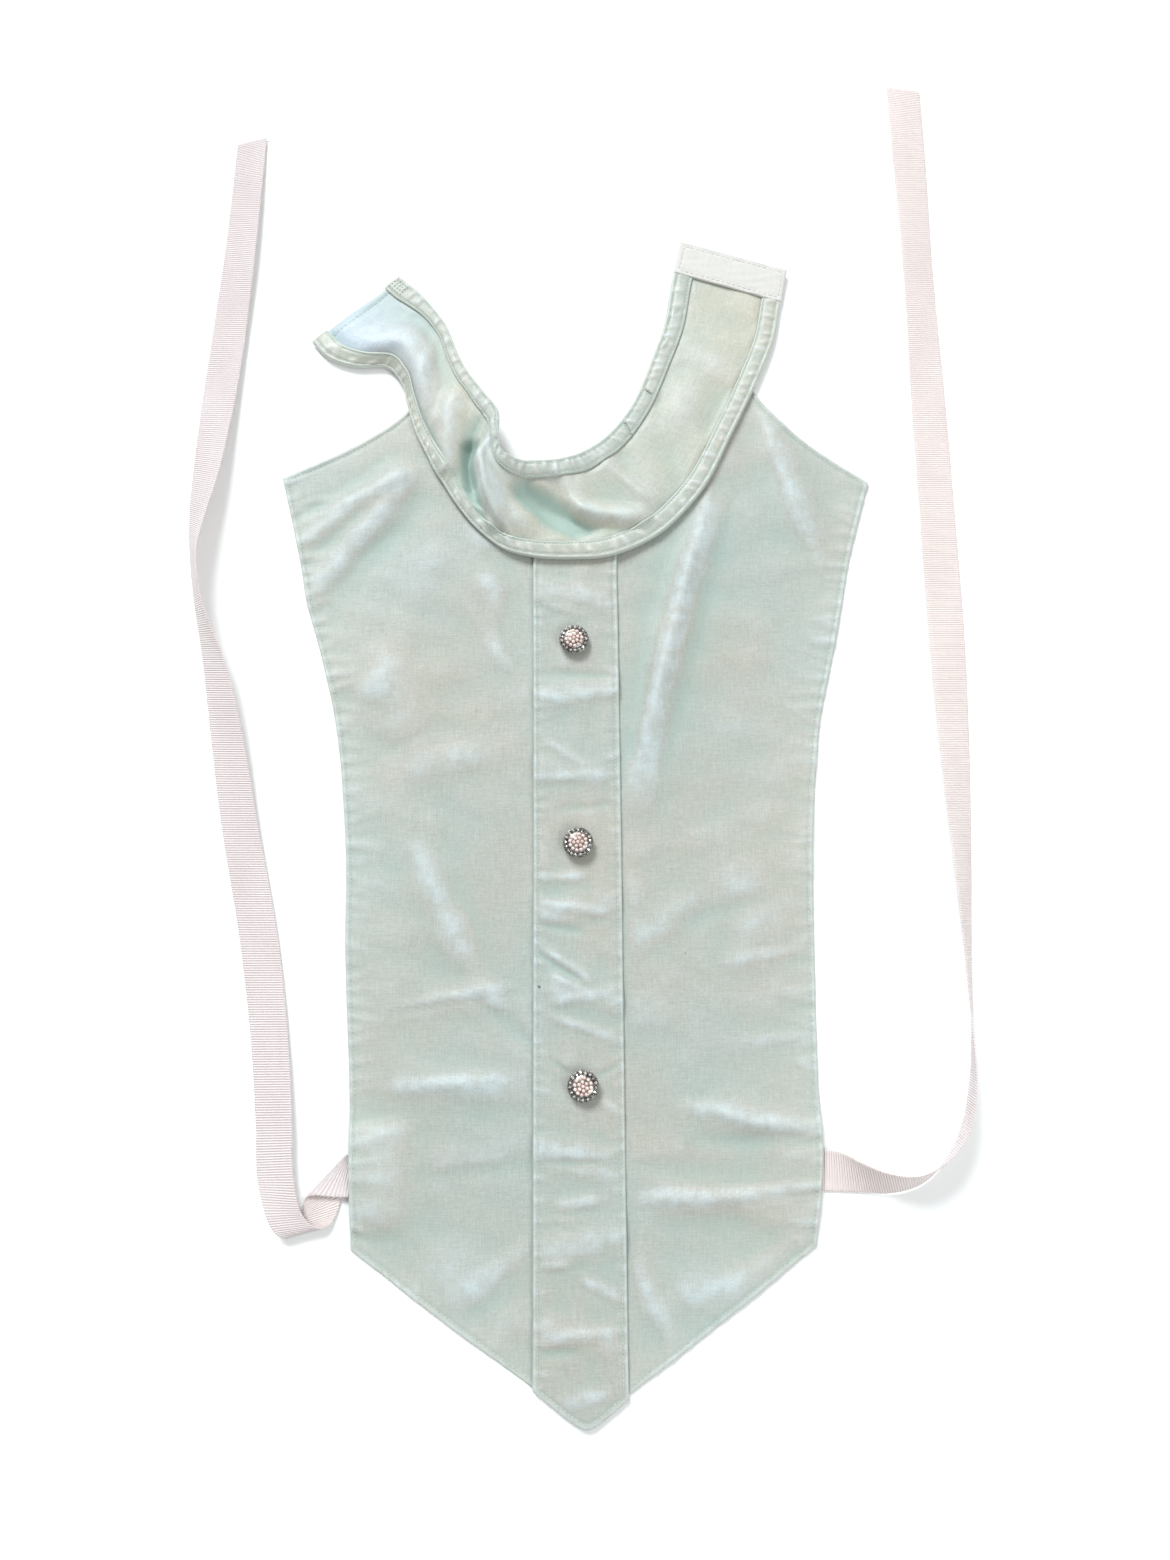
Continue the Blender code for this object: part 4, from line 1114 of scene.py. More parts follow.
def closed_sheet(name, under, over, faces, uv, marks, materials):
    """A closed thin wall between the same sheet's underside and its upper side."""
    under = under.reshape(-1, 3)
    over = over.reshape(-1, 3)
    total = len(under)
    edges = np.concatenate([faces[:, [k, (k + 1) % 4]] for k in range(4)])
    known = set(map(tuple, edges.tolist()))
    rim = sorted((a, b) for a, b in known if (b, a) not in known)
    rim = np.array([(a, b, b + total, a + total) for a, b in rim])
    every = np.concatenate([faces + total, faces[:, ::-1], rim])
    piece = finish_mesh(name, np.concatenate([under, over]), every.tolist(), materials)
    mesh = piece.data
    marks = [np.concatenate([np.zeros(total), np.ravel(values)]) for values in marks]
    add_layers(mesh, np.tile(uv.reshape(-1, 2), (2, 1)), marks)
    if len(materials) > 1:
        side = np.zeros(len(every), dtype=np.int32)
        side[len(faces) : 2 * len(faces)] = 1
        mesh.polygons.foreach_set("material_index", side)
    mesh.update()
    return piece


def relief_of(height, rounds, depth):
    """How far each place of a grid stands above its surroundings, from -1 to 1."""
    around = height
    for _ in range(rounds):
        wide = np.pad(around, 1, mode="edge")
        around = (wide[:-2, 1:-1] + wide[2:, 1:-1] + wide[1:-1, :-2] + wide[1:-1, 2:]) / 4
    return np.clip((height - around) / depth, -1.0, 1.0)


def sheet_area(points, faces):
    """Area of a sheet in square metres."""
    first = points[faces[:, 2]] - points[faces[:, 0]]
    second = points[faces[:, 3]] - points[faces[:, 1]]
    return float(np.linalg.norm(np.cross(first, second), axis=1).sum() / 2 * MM * MM)


def stitch_row(points, up, pitch=STITCH_PITCH):
    """Stitches along a line of points: where each starts and ends, and which way is up."""
    knots = knots_along(points)
    count = int(knots[-1] / pitch)
    starts = (np.arange(count) + 0.5) * knots[-1] / count
    ends = np.minimum(starts + pitch * STITCH_SHARE, knots[-1])
    back = pitch * STITCH_SHARE / 2

    def read(values, at):
        return np.stack([np.interp(at, knots, values[:, i]) for i in range(3)], axis=1)

    return read(points, starts - back), read(points, ends - back), read(up, starts)


def flat_stitches(line, top, pitch=STITCH_PITCH):
    """Stitches along a line on a piece that lies flat, at the heights of its upper side."""
    points = np.column_stack([line, top + THREAD_SEAT])
    return stitch_row(points, np.tile([0.0, 0.0, 1.0], (len(points), 1)), pitch)


def build_stitches(name, rows, material):
    """Every stitch of a piece as a small rounded length of thread."""
    start, end, up = (np.concatenate([row[i] for row in rows]) for i in range(3))
    run = end - start
    side = np.cross(run, up)
    side /= np.linalg.norm(side, axis=1, keepdims=True) + 1e-9
    up = np.cross(side, run)
    up /= np.linalg.norm(up, axis=1, keepdims=True) + 1e-9
    angles = np.arange(THREAD_SIDES) * 2 * math.pi / THREAD_SIDES
    rings = []
    for _, share, radius, lift in THREAD_PROFILE:
        centre = start + run * share + up * lift
        thick = THREAD_RADIUS * radius
        ring = [centre + thick * (side * math.cos(a) + up * math.sin(a)) for a in angles]
        rings.append(np.stack(ring, axis=1))
    points = np.stack(rings, axis=1)
    unit = tube_faces(len(rings), THREAD_SIDES)
    size = len(rings) * THREAD_SIDES
    faces = [tuple(n * size + v for v in face) for n in range(len(points)) for face in unit]
    piece = finish_mesh(name, points.reshape(-1, 3), faces, [material])
    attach(piece, "root")
    return piece


# Collar form

COLLAR_VALUES = columns(COLLAR_ROWS)
COLLAR_MIDDLE = (COLLAR_VALUES[:, 0:3] + COLLAR_VALUES[:, 3:6]) / 2
COLLAR_KNOTS = knots_along(COLLAR_MIDDLE)
COLLAR_LENGTH = COLLAR_KNOTS[-1]
BEND_LINES = [(bent(points), *widths) for _, points, *widths in COLLAR_BENDS]


def collar_middle(station, across):
    """Points of the collar's middle surface: across is 0 at the seam and 1 at the neck."""
    row = smooth(COLLAR_KNOTS, COLLAR_VALUES, station)
    across = np.asarray(across)[..., None]
    point = row[..., 0:3] * (1 - across) + row[..., 3:6] * across
    from_crest = across[..., 0] - row[..., 6]
    reach = np.where(from_crest > 0, CREST_NECK_REACH, CREST_REACH)
    away = np.clip(np.abs(from_crest) / reach, 0.0, 1.0)
    point[..., 2] += row[..., 7] * np.cos(away * math.pi / 2) ** 2
    point[..., 2] += ridges(point[..., 0], point[..., 1], columns(COLLAR_FOLDS))
    point[..., 2] += ridges(point[..., 0], point[..., 1], columns(COLLAR_CREASES), 1.0)
    clear = ease(across[..., 0] * BAND_WIDTH, BEND_CLEAR)
    point[..., 2] += bends(point[..., 0], point[..., 1], BEND_LINES) * clear
    above = (point[..., 2] - BAND_LOW) / BAND_SETTLE
    point[..., 2] = BAND_LOW + BAND_SETTLE * np.logaddexp(0.0, above)
    return point


def collar_point(station, across, out):
    """Points at a distance out from the collar's middle surface, and the way out."""
    share = COLLAR_STEP / BAND_WIDTH
    station = np.asarray(station, dtype=float)
    across = np.asarray(across, dtype=float)
    ahead = collar_middle(np.minimum(station + COLLAR_STEP, COLLAR_LENGTH), across)
    behind = collar_middle(np.maximum(station - COLLAR_STEP, 0.0), across)
    inward = collar_middle(station, across + share)
    outward = collar_middle(station, across - share)
    normal = np.cross(inward - outward, ahead - behind)
    normal /= np.linalg.norm(normal, axis=-1, keepdims=True)
    return collar_middle(station, across) + normal * np.asarray(out)[..., None], normal


def station_where(name):
    """The station of a named row of the collar."""
    names = [row[0] for row in COLLAR_ROWS]
    return COLLAR_KNOTS[names.index(name)]


BAND_PUCKERS = puckers(COLLAR_LENGTH, 11.0, 12.0, 0.34, 5)
NECK_PUCKERS = puckers(COLLAR_LENGTH, 12.0, 12.0, 0.34, 6)
SEAM_TUCKS = puckers(COLLAR_LENGTH, 4.8, 7.5, 0.75, 7)
NECK_TUCKS = puckers(COLLAR_LENGTH, 6.0, 7.5, 0.7, 8)


def band_relief(station, across):
    """Slackness and small puckers of the band beside its bindings."""
    from_seam = across * BAND_WIDTH
    from_neck = (1 - across) * BAND_WIDTH
    relief = ridges(station, from_seam - BINDING_WIDTH, BAND_PUCKERS, -1.0)
    relief += ridges(station, from_neck - BINDING_WIDTH, NECK_PUCKERS, -1.0)
    for share, size, seed in BAND_WAVES:
        relief += share * unevenness(station, from_seam, size, seed)
    beside = (BINDING_WIDTH, BINDING_WIDTH + BINDING_CLEAR)
    return relief * (ease(from_seam, beside) * ease(from_neck, beside))


# Front form


def neckline(side, shares):
    """The front's neck edge, under the collar, from the centre line up to one side."""
    across = NECK_ALLOWANCE / BAND_WIDTH
    right = station_where("right_join")
    left = station_where("left_join")
    top = right - RIGHT_JOIN_BACK if side > 0 else left
    stations = np.linspace(right, left, NECK_SAMPLES)
    x_there = collar_middle(stations, np.full(NECK_SAMPLES, across))[:, 0]
    centre = np.interp(0.0, -x_there, stations)
    points = collar_middle(centre + (top - centre) * shares, np.full(len(shares), across))
    return points[:, 0:2]


def spaced(length, cell, ends):
    """Distances a cell apart, then closer near the far end."""
    plain = np.linspace(0.0, length - ends[0], max(2, int(round((length - ends[0]) / cell)) + 1))
    return np.concatenate([plain, length - np.array(ends[1:])])


def front_half(side):
    """Places on one half of the front, from foot to shoulder, centre outwards."""
    body = columns(BODY_ROWS)
    yoke = columns(YOKE_ROWS)
    edge = slice(3, 5) if side > 0 else slice(1, 3)
    steps = tuple(step * FOOT_SPREAD for step in EDGE_STEPS)
    neck_foot = neckline(side, np.zeros(1))[0, 1]
    heights = neck_foot - spaced(neck_foot - body[0, 0], BODY_CELL, steps)[::-1]
    inner_body = np.stack([np.zeros(len(heights)), heights], axis=1)
    outer_body = smooth(body[:, 0], body[:, edge], heights)
    shares = spaced(YOKE_LENGTH, YOKE_CELL, EDGE_STEPS)[1:] / YOKE_LENGTH
    inner = np.concatenate([inner_body, neckline(side, shares)])
    outer = np.concatenate([outer_body, smooth(yoke[:, 0], yoke[:, edge], shares)])
    rise = np.concatenate([np.zeros(len(heights)), shares])[:, None]
    cells = spaced(HALF_LENGTH, CLOTH_CELL, EDGE_STEPS)
    near_edge = len(EDGE_STEPS)
    across = []
    for wide in np.linalg.norm(outer - inner, axis=1):
        plain = cells[: 1 - near_edge] / cells[-near_edge] * (1 - EDGE_STEPS[0] / wide)
        across.append(np.concatenate([plain, 1 - np.array(EDGE_STEPS[1:]) / wide]))
    across = np.array(across)
    grid = inner[:, None, :] * (1 - across[..., None]) + outer[:, None, :] * across[..., None]
    edge_run = outer[-1] - inner[-1]
    downward = np.array([edge_run[1], -edge_run[0]]) * side / np.linalg.norm(edge_run)
    depth, peak = RIGHT_SHOULDER if side > 0 else LEFT_SHOULDER
    sag = depth * np.sin(math.pi * across**peak) * rise**4
    grid = grid + sag[..., None] * downward
    from_hem = np.clip(1 - (inner[:, 1:2] - inner[0, 1]) / HEM_REACH, 0.0, 1.0)
    grid[..., 1] -= HEM_BOW * np.sin(math.pi * across) * from_hem
    return grid, len(heights)


RIGHT_HALF, BODY_COUNT = front_half(1)
LEFT_HALF, _ = front_half(-1)
NECK_LINES = {side: neckline(side, np.linspace(0.0, 1.0, NECK_POINTS)) for side in (1, -1)}
SIDE_LINES = {1: RIGHT_HALF[:, -1], -1: LEFT_HALF[:, -1]}
FOOT_LINES = {1: RIGHT_HALF[0], -1: LEFT_HALF[0]}
SHOULDER_LINES = {1: RIGHT_HALF[-1], -1: LEFT_HALF[-1]}
HEM_PUCKERS = {}
for side, seed in ((1, 21), (-1, 31)):
    HEM_PUCKERS[side] = [puckers(*row[1:], seed + i) for i, row in enumerate(HEM_PUCKER_ROWS)]


def front_form(x, y, side):
    """Underside, upper side, edge wear and groove mark of the front at each place; the groove mark,
    darkened as painted shade, holds the hem's stitch groove and a painted shadow line beside the
    placket.
    """
    from_side, side_at, _ = nearest(x, y, SIDE_LINES[side])
    from_foot, foot_at, _ = nearest(x, y, FOOT_LINES[side])
    from_shoulder, shoulder_at, _ = nearest(x, y, SHOULDER_LINES[side])
    from_collar = nearest(x, y, NECK_LINES[side])[0]
    clear = ease(np.abs(x), PLACKET_FLAT) * ease(from_collar, COLLAR_FLAT)
    height = ridges(x, y, columns(FRONT_FOLDS), 1.0, FRONT_CRISP, FOLD_LONGER) * clear
    seat = 1 - ease(np.abs(y - SEAT_Y), SEAT_REACH)
    seat = seat * (1 - ease(from_side, SEAT_DEPTH))
    lift = RIGHT_SEAT if side > 0 else LEFT_SEAT
    height = height * (1 - seat) + np.maximum(height, lift) * seat
    fine = ridges(x, y, columns(FRONT_CREASES), 1.0, FRONT_CRISP, CREASE_LONGER)
    for share, size, seed in FRONT_WAVES:
        fine += share * unevenness(x, y, size, seed)
    hems = ((side_at, from_side), (foot_at, from_foot), (shoulder_at, from_shoulder))
    for (at, inside), rows in zip(hems, HEM_PUCKERS[side]):
        fine += ridges(at, inside, rows, -1.0, HEM_CRISP)
    fine = fine * ease(np.abs(x), UNDER_PLACKET) * ease(from_collar, UNDER_COLLAR)
    edge = np.minimum(np.minimum(from_side, from_foot), from_shoulder)
    fine += hem_form(edge) * ease(np.abs(x), UNDER_PLACKET)
    height = height + fine
    over = np.maximum(np.maximum(height + WALL, OVER_LOW) - rounded(edge), OVER_EDGE)
    under = np.clip(height, 0.0, over - THINNEST)
    wear = bell(edge, 0.0, WEAR_WIDTH) + BORDER_LIGHT * np.exp(-edge / BORDER_WIDTH)
    groove = bell(edge, HEM_STITCH, GROOVE_WIDTH)
    beside = np.abs(x - placket_edge(y)[..., 1 if side > 0 else 0])
    # painted shadow: a dark line on the front along both sides of the placket
    shadow = PLACKET_SHADOW_STRENGTH * bell(beside, 0.0, SEAM_SHADE) * (y < PLACKET_TOP)
    return under, over, np.minimum(wear, 1.0), np.maximum(groove, shadow)


def inset(line, distance):
    """A line moved sideways, to its left for a positive distance."""
    run = np.gradient(line, axis=0)
    run /= np.linalg.norm(run, axis=1, keepdims=True)
    return line + np.stack([-run[:, 1], run[:, 0]], axis=1) * distance


def trimmed(line, first, last):
    """A line without its first and last stretch."""
    knots = knots_along(line)
    keep = (knots >= first) & (knots <= knots[-1] - last)
    return line[keep]


def build_front(material, thread):
    """The bib panel and its hem stitches."""
    rows, width = RIGHT_HALF.shape[0:2]
    place = np.concatenate([RIGHT_HALF.reshape(-1, 2), LEFT_HALF.reshape(-1, 2)])
    index = np.arange(rows * width).reshape(rows, width) + rows * width
    index[:BODY_COUNT, 0] = np.arange(BODY_COUNT) * width
    right = grid_faces(rows, width)
    left = np.stack([index[:-1, :-1], index[1:, :-1], index[1:, 1:], index[:-1, 1:]], axis=2)
    faces = np.concatenate([right, left.reshape(-1, 4)])
    used = np.unique(faces)
    faces = np.searchsorted(used, faces)
    place = place[used]
    form = []
    for half, side in ((RIGHT_HALF, 1), (LEFT_HALF, -1)):
        forms = front_form(half[..., 0], half[..., 1], side)
        # relief: the look paints shade into hollows and highlights onto crests from it
        relief = relief_of(forms[1], 2 * RELIEF_ROUNDS, 1.5 * RELIEF_DEPTH)
        form.append(np.stack([*forms, relief]).reshape(5, -1))
    form = np.concatenate(form, axis=1)[:, used]
    under = np.column_stack([place, form[0]])
    over = np.column_stack([place, form[1]])
    piece = closed_sheet("front_cloth", under, over, faces, place, form[2:5], [material])
    seams = []
    for side in (1, -1):
        hems = (
            # line, way in, stretch without stitches at its start and its end
            (SIDE_LINES[side], side, 2.5, 2.5),
            (FOOT_LINES[side], side, 22.0, 2.5),
            (SHOULDER_LINES[side], -side, 14.0, 2.5),
        )
        for line, way, first, last in hems:
            line = resample(trimmed(inset(line, HEM_STITCH * way), first, last), SEAM_STEP)
            seams.append(flat_stitches(line, front_form(line[:, 0], line[:, 1], side)[1]))
    sewing = build_stitches("front_stitches", seams, thread)
    return piece, sewing, sheet_area(over, faces)


# Placket

PLACKET_EDGES = columns(PLACKET_ROWS)


def placket_edge(y):
    """Where the placket's sides are at a height."""
    return smooth(PLACKET_EDGES[:, 0], PLACKET_EDGES[:, 1:3], y)


def foot_line(x):
    """The placket's foot below each x."""
    return TIP_Y + TIP_SLOPE * (np.hypot(x - TIP_X, TIP_ROUND) - TIP_ROUND)


PLACKET_LEFT = puckers(360.0, 6.0, 9.0, 0.6, 51)
PLACKET_RIGHT = puckers(360.0, 6.0, 9.0, 0.6, 52)


def placket_form(x, y):
    """Underside, upper side, edge wear and groove mark of the placket; the look darkens the stitch
    groove as painted shade.
    """
    sides = placket_edge(y)
    from_left = x - sides[..., 0]
    from_right = sides[..., 1] - x
    from_foot = (y - foot_line(x)) * math.cos(math.atan(TIP_SLOPE))
    edge = np.minimum(np.minimum(from_left, from_right), from_foot)
    height = ridges(x, y, columns(PLACKET_FOLDS))
    fine = RIPPLE_LIFT * ridges(x, y, columns(PLACKET_CREASES), 1.0, RIPPLE_CRISP)
    fine += ridges(y - PLACKET_LOW, from_left, PLACKET_LEFT, -1.0)
    fine += ridges(y - PLACKET_LOW, from_right, PLACKET_RIGHT, -1.0)
    for share, size, seed in PLACKET_WAVES:
        fine += share * unevenness(x, y, size, seed)
    for _, button_x, button_y, _ in BUTTONS:
        away = np.hypot(x - button_x, y - button_y)
        fine = fine * ease(away, BUTTON_FINE) - BUTTON_DENT * bell(away, 0.0, BUTTON_PULL)
        height = height * ease(away, BUTTON_FLAT)
    fine = fine * (1 - ease(y, PLACKET_SEWN))
    fine += hem_form(edge, PLACKET_STITCH, *PLACKET_ROLL)
    lift = WALL + SEAM_GAP + np.maximum(height + fine, PLACKET_SINK)
    over = lift + WALL - rounded(edge) * PLACKET_ROUND
    under = np.minimum(np.maximum(lift, WALL + PLACKET_CLEAR), over - PLACKET_THINNEST)
    return under, over, bell(edge, 0.0, WEAR_WIDTH), bell(edge, PLACKET_STITCH, GROOVE_WIDTH)


def build_placket(material, thread):
    """The strip down the front and its stitches."""
    width = PLACKET_EDGES[-1, 2] - PLACKET_EDGES[-1, 1]
    half = spaced(width / 2, FINE_CELL, EDGE_STEPS)
    across = np.concatenate([width / 2 - half[::-1], width / 2 + half[1:]]) / width
    run = PLACKET_TOP - TIP_Y
    steps = tuple(step * TIP_SPREAD for step in EDGE_STEPS)
    share = (1 - spaced(run, LENGTH_CELL, steps)[::-1] / run)[:, None]
    foot_sides = placket_edge(np.array([FOOT_Y]))[0]
    foot_x = foot_sides[0] * (1 - across) + foot_sides[1] * across
    y = foot_line(foot_x) * (1 - share) + PLACKET_TOP * share
    sides = placket_edge(y)
    x = sides[..., 0] * (1 - across) + sides[..., 1] * across
    under, over, wear, groove = placket_form(x, y)
    # groove and relief: the look paints shade into the stitch groove and hollows, and highlights
    # onto crests
    marks = (wear, groove, relief_of(over, 2 * RELIEF_ROUNDS, RELIEF_DEPTH))
    under = np.stack([x, y, under], axis=2)
    over = np.stack([x, y, over], axis=2)
    uv = np.stack([x, y], axis=2)
    faces = grid_faces(*x.shape)
    piece = closed_sheet("placket_cloth", under, over, faces, uv, marks, [material])
    seams = []
    for which, way in ((0, 1), (1, -1)):
        low = foot_line(foot_sides[which]) + PLACKET_START
        line_y = np.arange(low, PLACKET_TOP, SEAM_STEP)
        line_x = placket_edge(line_y)[:, which] + PLACKET_STITCH * way
        seams.append(np.column_stack([line_x, line_y]))
    foot_edge = resample(np.column_stack([foot_x, foot_line(foot_x)]), SEAM_STEP)
    seams.append(trimmed(inset(foot_edge, PLACKET_STITCH), FOOT_TRIM, FOOT_TRIM))
    rows = []
    for line in seams:
        rows.append(flat_stitches(line, placket_form(line[:, 0], line[:, 1])[1], CLOSE_PITCH))
    return piece, build_stitches("placket_stitches", rows, thread)


# Collar pieces


def band_stitches(at, across, rise, pitch):
    """Stitches along a line on the collar, at their height above the band's middle."""
    line, up = collar_point(at, across, rise)
    return stitch_row(line, up, pitch)


def build_band(material):
    """The collar band between its bindings."""
    margin = (WALL + SEAM_GAP) / BAND_WIDTH
    across = np.linspace(margin, 1 - margin, BAND_COLUMNS)[None, :]
    tape = np.linspace(0.0, TAPE_WIDTH, TAPE_ROWS)
    rest = np.linspace(TAPE_WIDTH + SEAM_GAP, COLLAR_LENGTH, int(COLLAR_LENGTH / BAND_CELL))
    station = np.concatenate([tape, rest])[:, None]
    station, across = np.broadcast_arrays(station, across)
    from_left = COLLAR_LENGTH - station
    relief = band_relief(station, across)
    relief += hem_form(from_left, END_STITCH, *END_ROLL) * (1 - ease(from_left, END_REACH))
    under, _ = collar_point(station, across, relief - BAND_HALF)
    over, _ = collar_point(station, across, relief + BAND_HALF - rounded(from_left))
    uv = np.stack([station, across * BAND_WIDTH], axis=2)
    wear = bell(from_left, 0.0, 1.0)
    # groove and relief: the look paints shade into the end stitch line and the band's troughs, and
    # highlights onto its crests
    groove = bell(from_left, END_STITCH, GROOVE_WIDTH)
    marks = (wear, groove, relief_of(over[..., 2], 32 * RELIEF_ROUNDS, 5.0 * RELIEF_DEPTH))
    faces = grid_faces(*station.shape)
    return closed_sheet("band_cloth", under, over, faces, uv, marks, [material])



def binding_out(station, inside, tucks):
    """How far the binding's upper side stands out from the band's middle, by distance in."""
    puff = 0.3 * np.sin(math.pi * np.clip(inside / BINDING_WIDTH, 0.0, 1.0)) ** 0.7
    relief = ridges(station, inside, tucks, 1.0)
    relief = relief + 0.07 * unevenness(station, inside, 9.0, 71)
    relief = relief * ease(inside, TUCK_START) * (1 - ease(inside, TUCK_END))
    groove = 0.32 * bell(inside, BINDING_STITCH, 0.5)
    seam = 0.34 * bell(inside, BINDING_SEAM, 0.5)
    roll = 0.18 * bell(inside, 0.9, 0.7)
    tip = 0.45 * ease(inside, (BINDING_WIDTH - 0.5, BINDING_WIDTH))
    return BINDING_HIGH + puff + relief - groove - seam + roll - tip


def build_binding(name, edge, tucks, material):
    """A folded strip on the band that rolls over one of its edges, and its rows of stitches."""
    inward = 1.0 - 2.0 * edge
    count = int(COLLAR_LENGTH / BINDING_CELL)
    station = np.linspace(TAPE_WIDTH + SEAM_GAP, COLLAR_LENGTH, count)[:, None]
    inside = list(BINDING_STEPS)
    top = binding_out(station, np.array(inside)[None, :], tucks)
    out = [top]
    for angle in np.linspace(0.0, math.pi / 2, TURN_STEPS)[1:]:
        inside.append(BINDING_STEPS[-1] * (1 - math.sin(angle)))
        out.append(top[:, -1:] * math.cos(angle) - TURN_LOW * math.sin(angle))
    for _, back, rise in BINDING_BACK:
        inside.append(back)
        out.append(np.full((count, 1), rise))
    out = np.concatenate(out, axis=1)
    station, inside = np.broadcast_arrays(station, np.array(inside)[None, :])
    points, _ = collar_point(station, edge + inward * inside / BAND_WIDTH, out)
    faces = tube_faces(*out.shape)
    if edge == 1.0:
        faces = [face[::-1] for face in faces]
    piece = finish_mesh(name, points.reshape(-1, 3), faces, [material])
    girth = knots_along(np.column_stack([inside[0], out[0]]))
    uv = np.stack([station + girth, station - girth], axis=2) * BIAS
    wear = bell(inside, 0.0, 1.0) + bell(inside, BINDING_FOLD, 0.35)
    # groove and relief: the look paints shade into the stitch lines and highlights onto the tucks'
    # crests
    groove = bell(inside, BINDING_STITCH, 0.45) + bell(inside, BINDING_SEAM, 0.45)
    relief = (ridges(station, inside, tucks, 1.0) - 0.15) / 0.3 * (out > 0.8)
    add_layers(piece.data, uv, [np.clip(mark, -1.0, 1.0) for mark in (wear, groove, relief)])
    seams = []
    at = np.arange(TAPE_WIDTH + BINDING_TRIM, COLLAR_LENGTH - BINDING_TRIM, SEAM_STEP)
    for depth, pitch in ((BINDING_STITCH, CLOSE_PITCH), (BINDING_SEAM, STITCH_PITCH)):
        deep = np.full(len(at), depth)
        rise = binding_out(at, deep, tucks) + THREAD_SEAT
        seams.append(band_stitches(at, edge + inward * deep / BAND_WIDTH, rise, pitch))
    return piece, seams


def build_tape(material):
    """Loop tape across the right end, with bound ends, and its rows of stitches."""
    across = np.linspace(0.0, 1.0, TAPE_COLUMNS)[None, :]
    station = spaced(TAPE_WIDTH, TAPE_CELL, TAPE_STEPS)
    station = np.concatenate([TAPE_FIRST, station[1:]])[:, None]
    station, across = np.broadcast_arrays(station, across)
    along = across * BAND_WIDTH
    edge = np.minimum.reduce([station, TAPE_WIDTH - station, along, BAND_WIDTH - along])
    relief = -0.3 * bell(edge, TAPE_STITCH, 0.5)
    for share, size, seed in TAPE_WAVES:
        relief += share * unevenness(station, along, size, seed)
    out = TAPE_SEAT + TAPE_THICK + relief - rounded(edge) * TAPE_ROUND
    over, _ = collar_point(station, across, out)
    under, _ = collar_point(station, across, np.full(station.shape, TAPE_SEAT))
    uv = np.stack([along, station], axis=2)
    faces = grid_faces(*station.shape)
    piece = closed_sheet("closure_tape_pile", under, over, faces, uv, (), [material])
    long = np.linspace(0.04, 0.96, 60)
    short = np.linspace(TAPE_STITCH, TAPE_WIDTH - TAPE_STITCH, 20)
    lines = [(np.full(60, depth), long) for depth in (TAPE_STITCH, TAPE_WIDTH - TAPE_STITCH)]
    for depth in (TAPE_STITCH, BAND_WIDTH - TAPE_STITCH):
        lines.append((short, np.full(20, depth / BAND_WIDTH)))
    seams = []
    for at, share in lines:
        seams.append(band_stitches(at, share, np.full(len(at), TAPE_SEAT + TAPE_SEWN), TAPE_PITCH))
    return piece, seams


def end_seams():
    """The stitches that show on the band's left end."""
    share = np.linspace(0.18, 0.82, 60)
    at = np.full(60, COLLAR_LENGTH - END_STITCH)
    relief = band_relief(at, share) + hem_form(END_STITCH, END_STITCH, *END_ROLL)
    seams = [band_stitches(at, share, relief + BAND_HALF + THREAD_SEAT, END_PITCH)]
    inside = np.linspace(1.2, 7.2, 12)
    for depth in END_TACKS:
        at = np.full(12, COLLAR_LENGTH - depth)
        rise = binding_out(at, inside, NECK_TUCKS) + THREAD_RADIUS
        seams.append(band_stitches(at, 1 - inside / BAND_WIDTH, rise, TACK_PITCH))
    return seams


# Ties


def build_tie(name, rows, materials):
    """A ribbon through both of its edges, with thicker selvedges."""
    values = columns(rows)
    knots = knots_along((values[:, 0:3] + values[:, 3:6]) / 2)
    count = int(knots[-1] / RIBBON_CELL)
    station = np.linspace(0.0, knots[-1], count)
    edges = smooth(knots, values, station)
    edges[:, [2, 5]] = np.maximum(edges[:, [2, 5]], RIBBON_LOW)
    across = np.array(RIBBON_COLUMNS)
    share = across[None, :, None]
    grid = edges[:, None, 0:3] * (1 - share) + edges[:, None, 3:6] * share
    normal = np.cross(np.gradient(grid, axis=1), np.gradient(grid, axis=0))
    normal /= np.linalg.norm(normal, axis=2, keepdims=True)
    inside = np.minimum(across, 1 - across) * RIBBON_WIDTH
    half = RIBBON_WALL / 2 * (1.0 + 0.35 * bell(inside, 0.6, 0.5))
    half = half * (0.45 + 0.55 * ease(inside, (0.0, 0.5)))
    wave = 0.12 * unevenness(across * RIBBON_WIDTH, station[:, None], 38.0, 91)
    wave = wave * ease(grid[..., 2], (0.5, 2.5))
    middle = grid + normal * wave[..., None]
    over = middle + normal * half[None, :, None]
    under = middle - normal * half[None, :, None]
    faces = grid_faces(count, len(across))
    uv = np.stack(np.broadcast_arrays(across[None, :] * RIBBON_WIDTH, station[:, None]), axis=2)
    piece = closed_sheet(name, under, over, faces, uv, (), materials)
    return piece, float(knots[-1])


# Buttons


def lathe(profile, steps):
    """Points and faces of a turned form whose first and last radius are zero."""
    points = [(0.0, 0.0, profile[0][1])]
    for radius, height in profile[1:-1]:
        for k in range(steps):
            angle = 2 * math.pi * k / steps
            points.append((radius * math.cos(angle), radius * math.sin(angle), height))
    points.append((0.0, 0.0, profile[-1][1]))
    faces = []
    rings = len(profile) - 2
    for k in range(steps):
        faces.append((0, 1 + (k + 1) % steps, 1 + k))
        last = 1 + (rings - 1) * steps
        faces.append((last + k, last + (k + 1) % steps, len(points) - 1))
    for i in range(rings - 1):
        for k in range(steps):
            a = 1 + i * steps + k
            b = 1 + i * steps + (k + 1) % steps
            faces.append((a, b, b + steps, a + steps))
    return points, faces


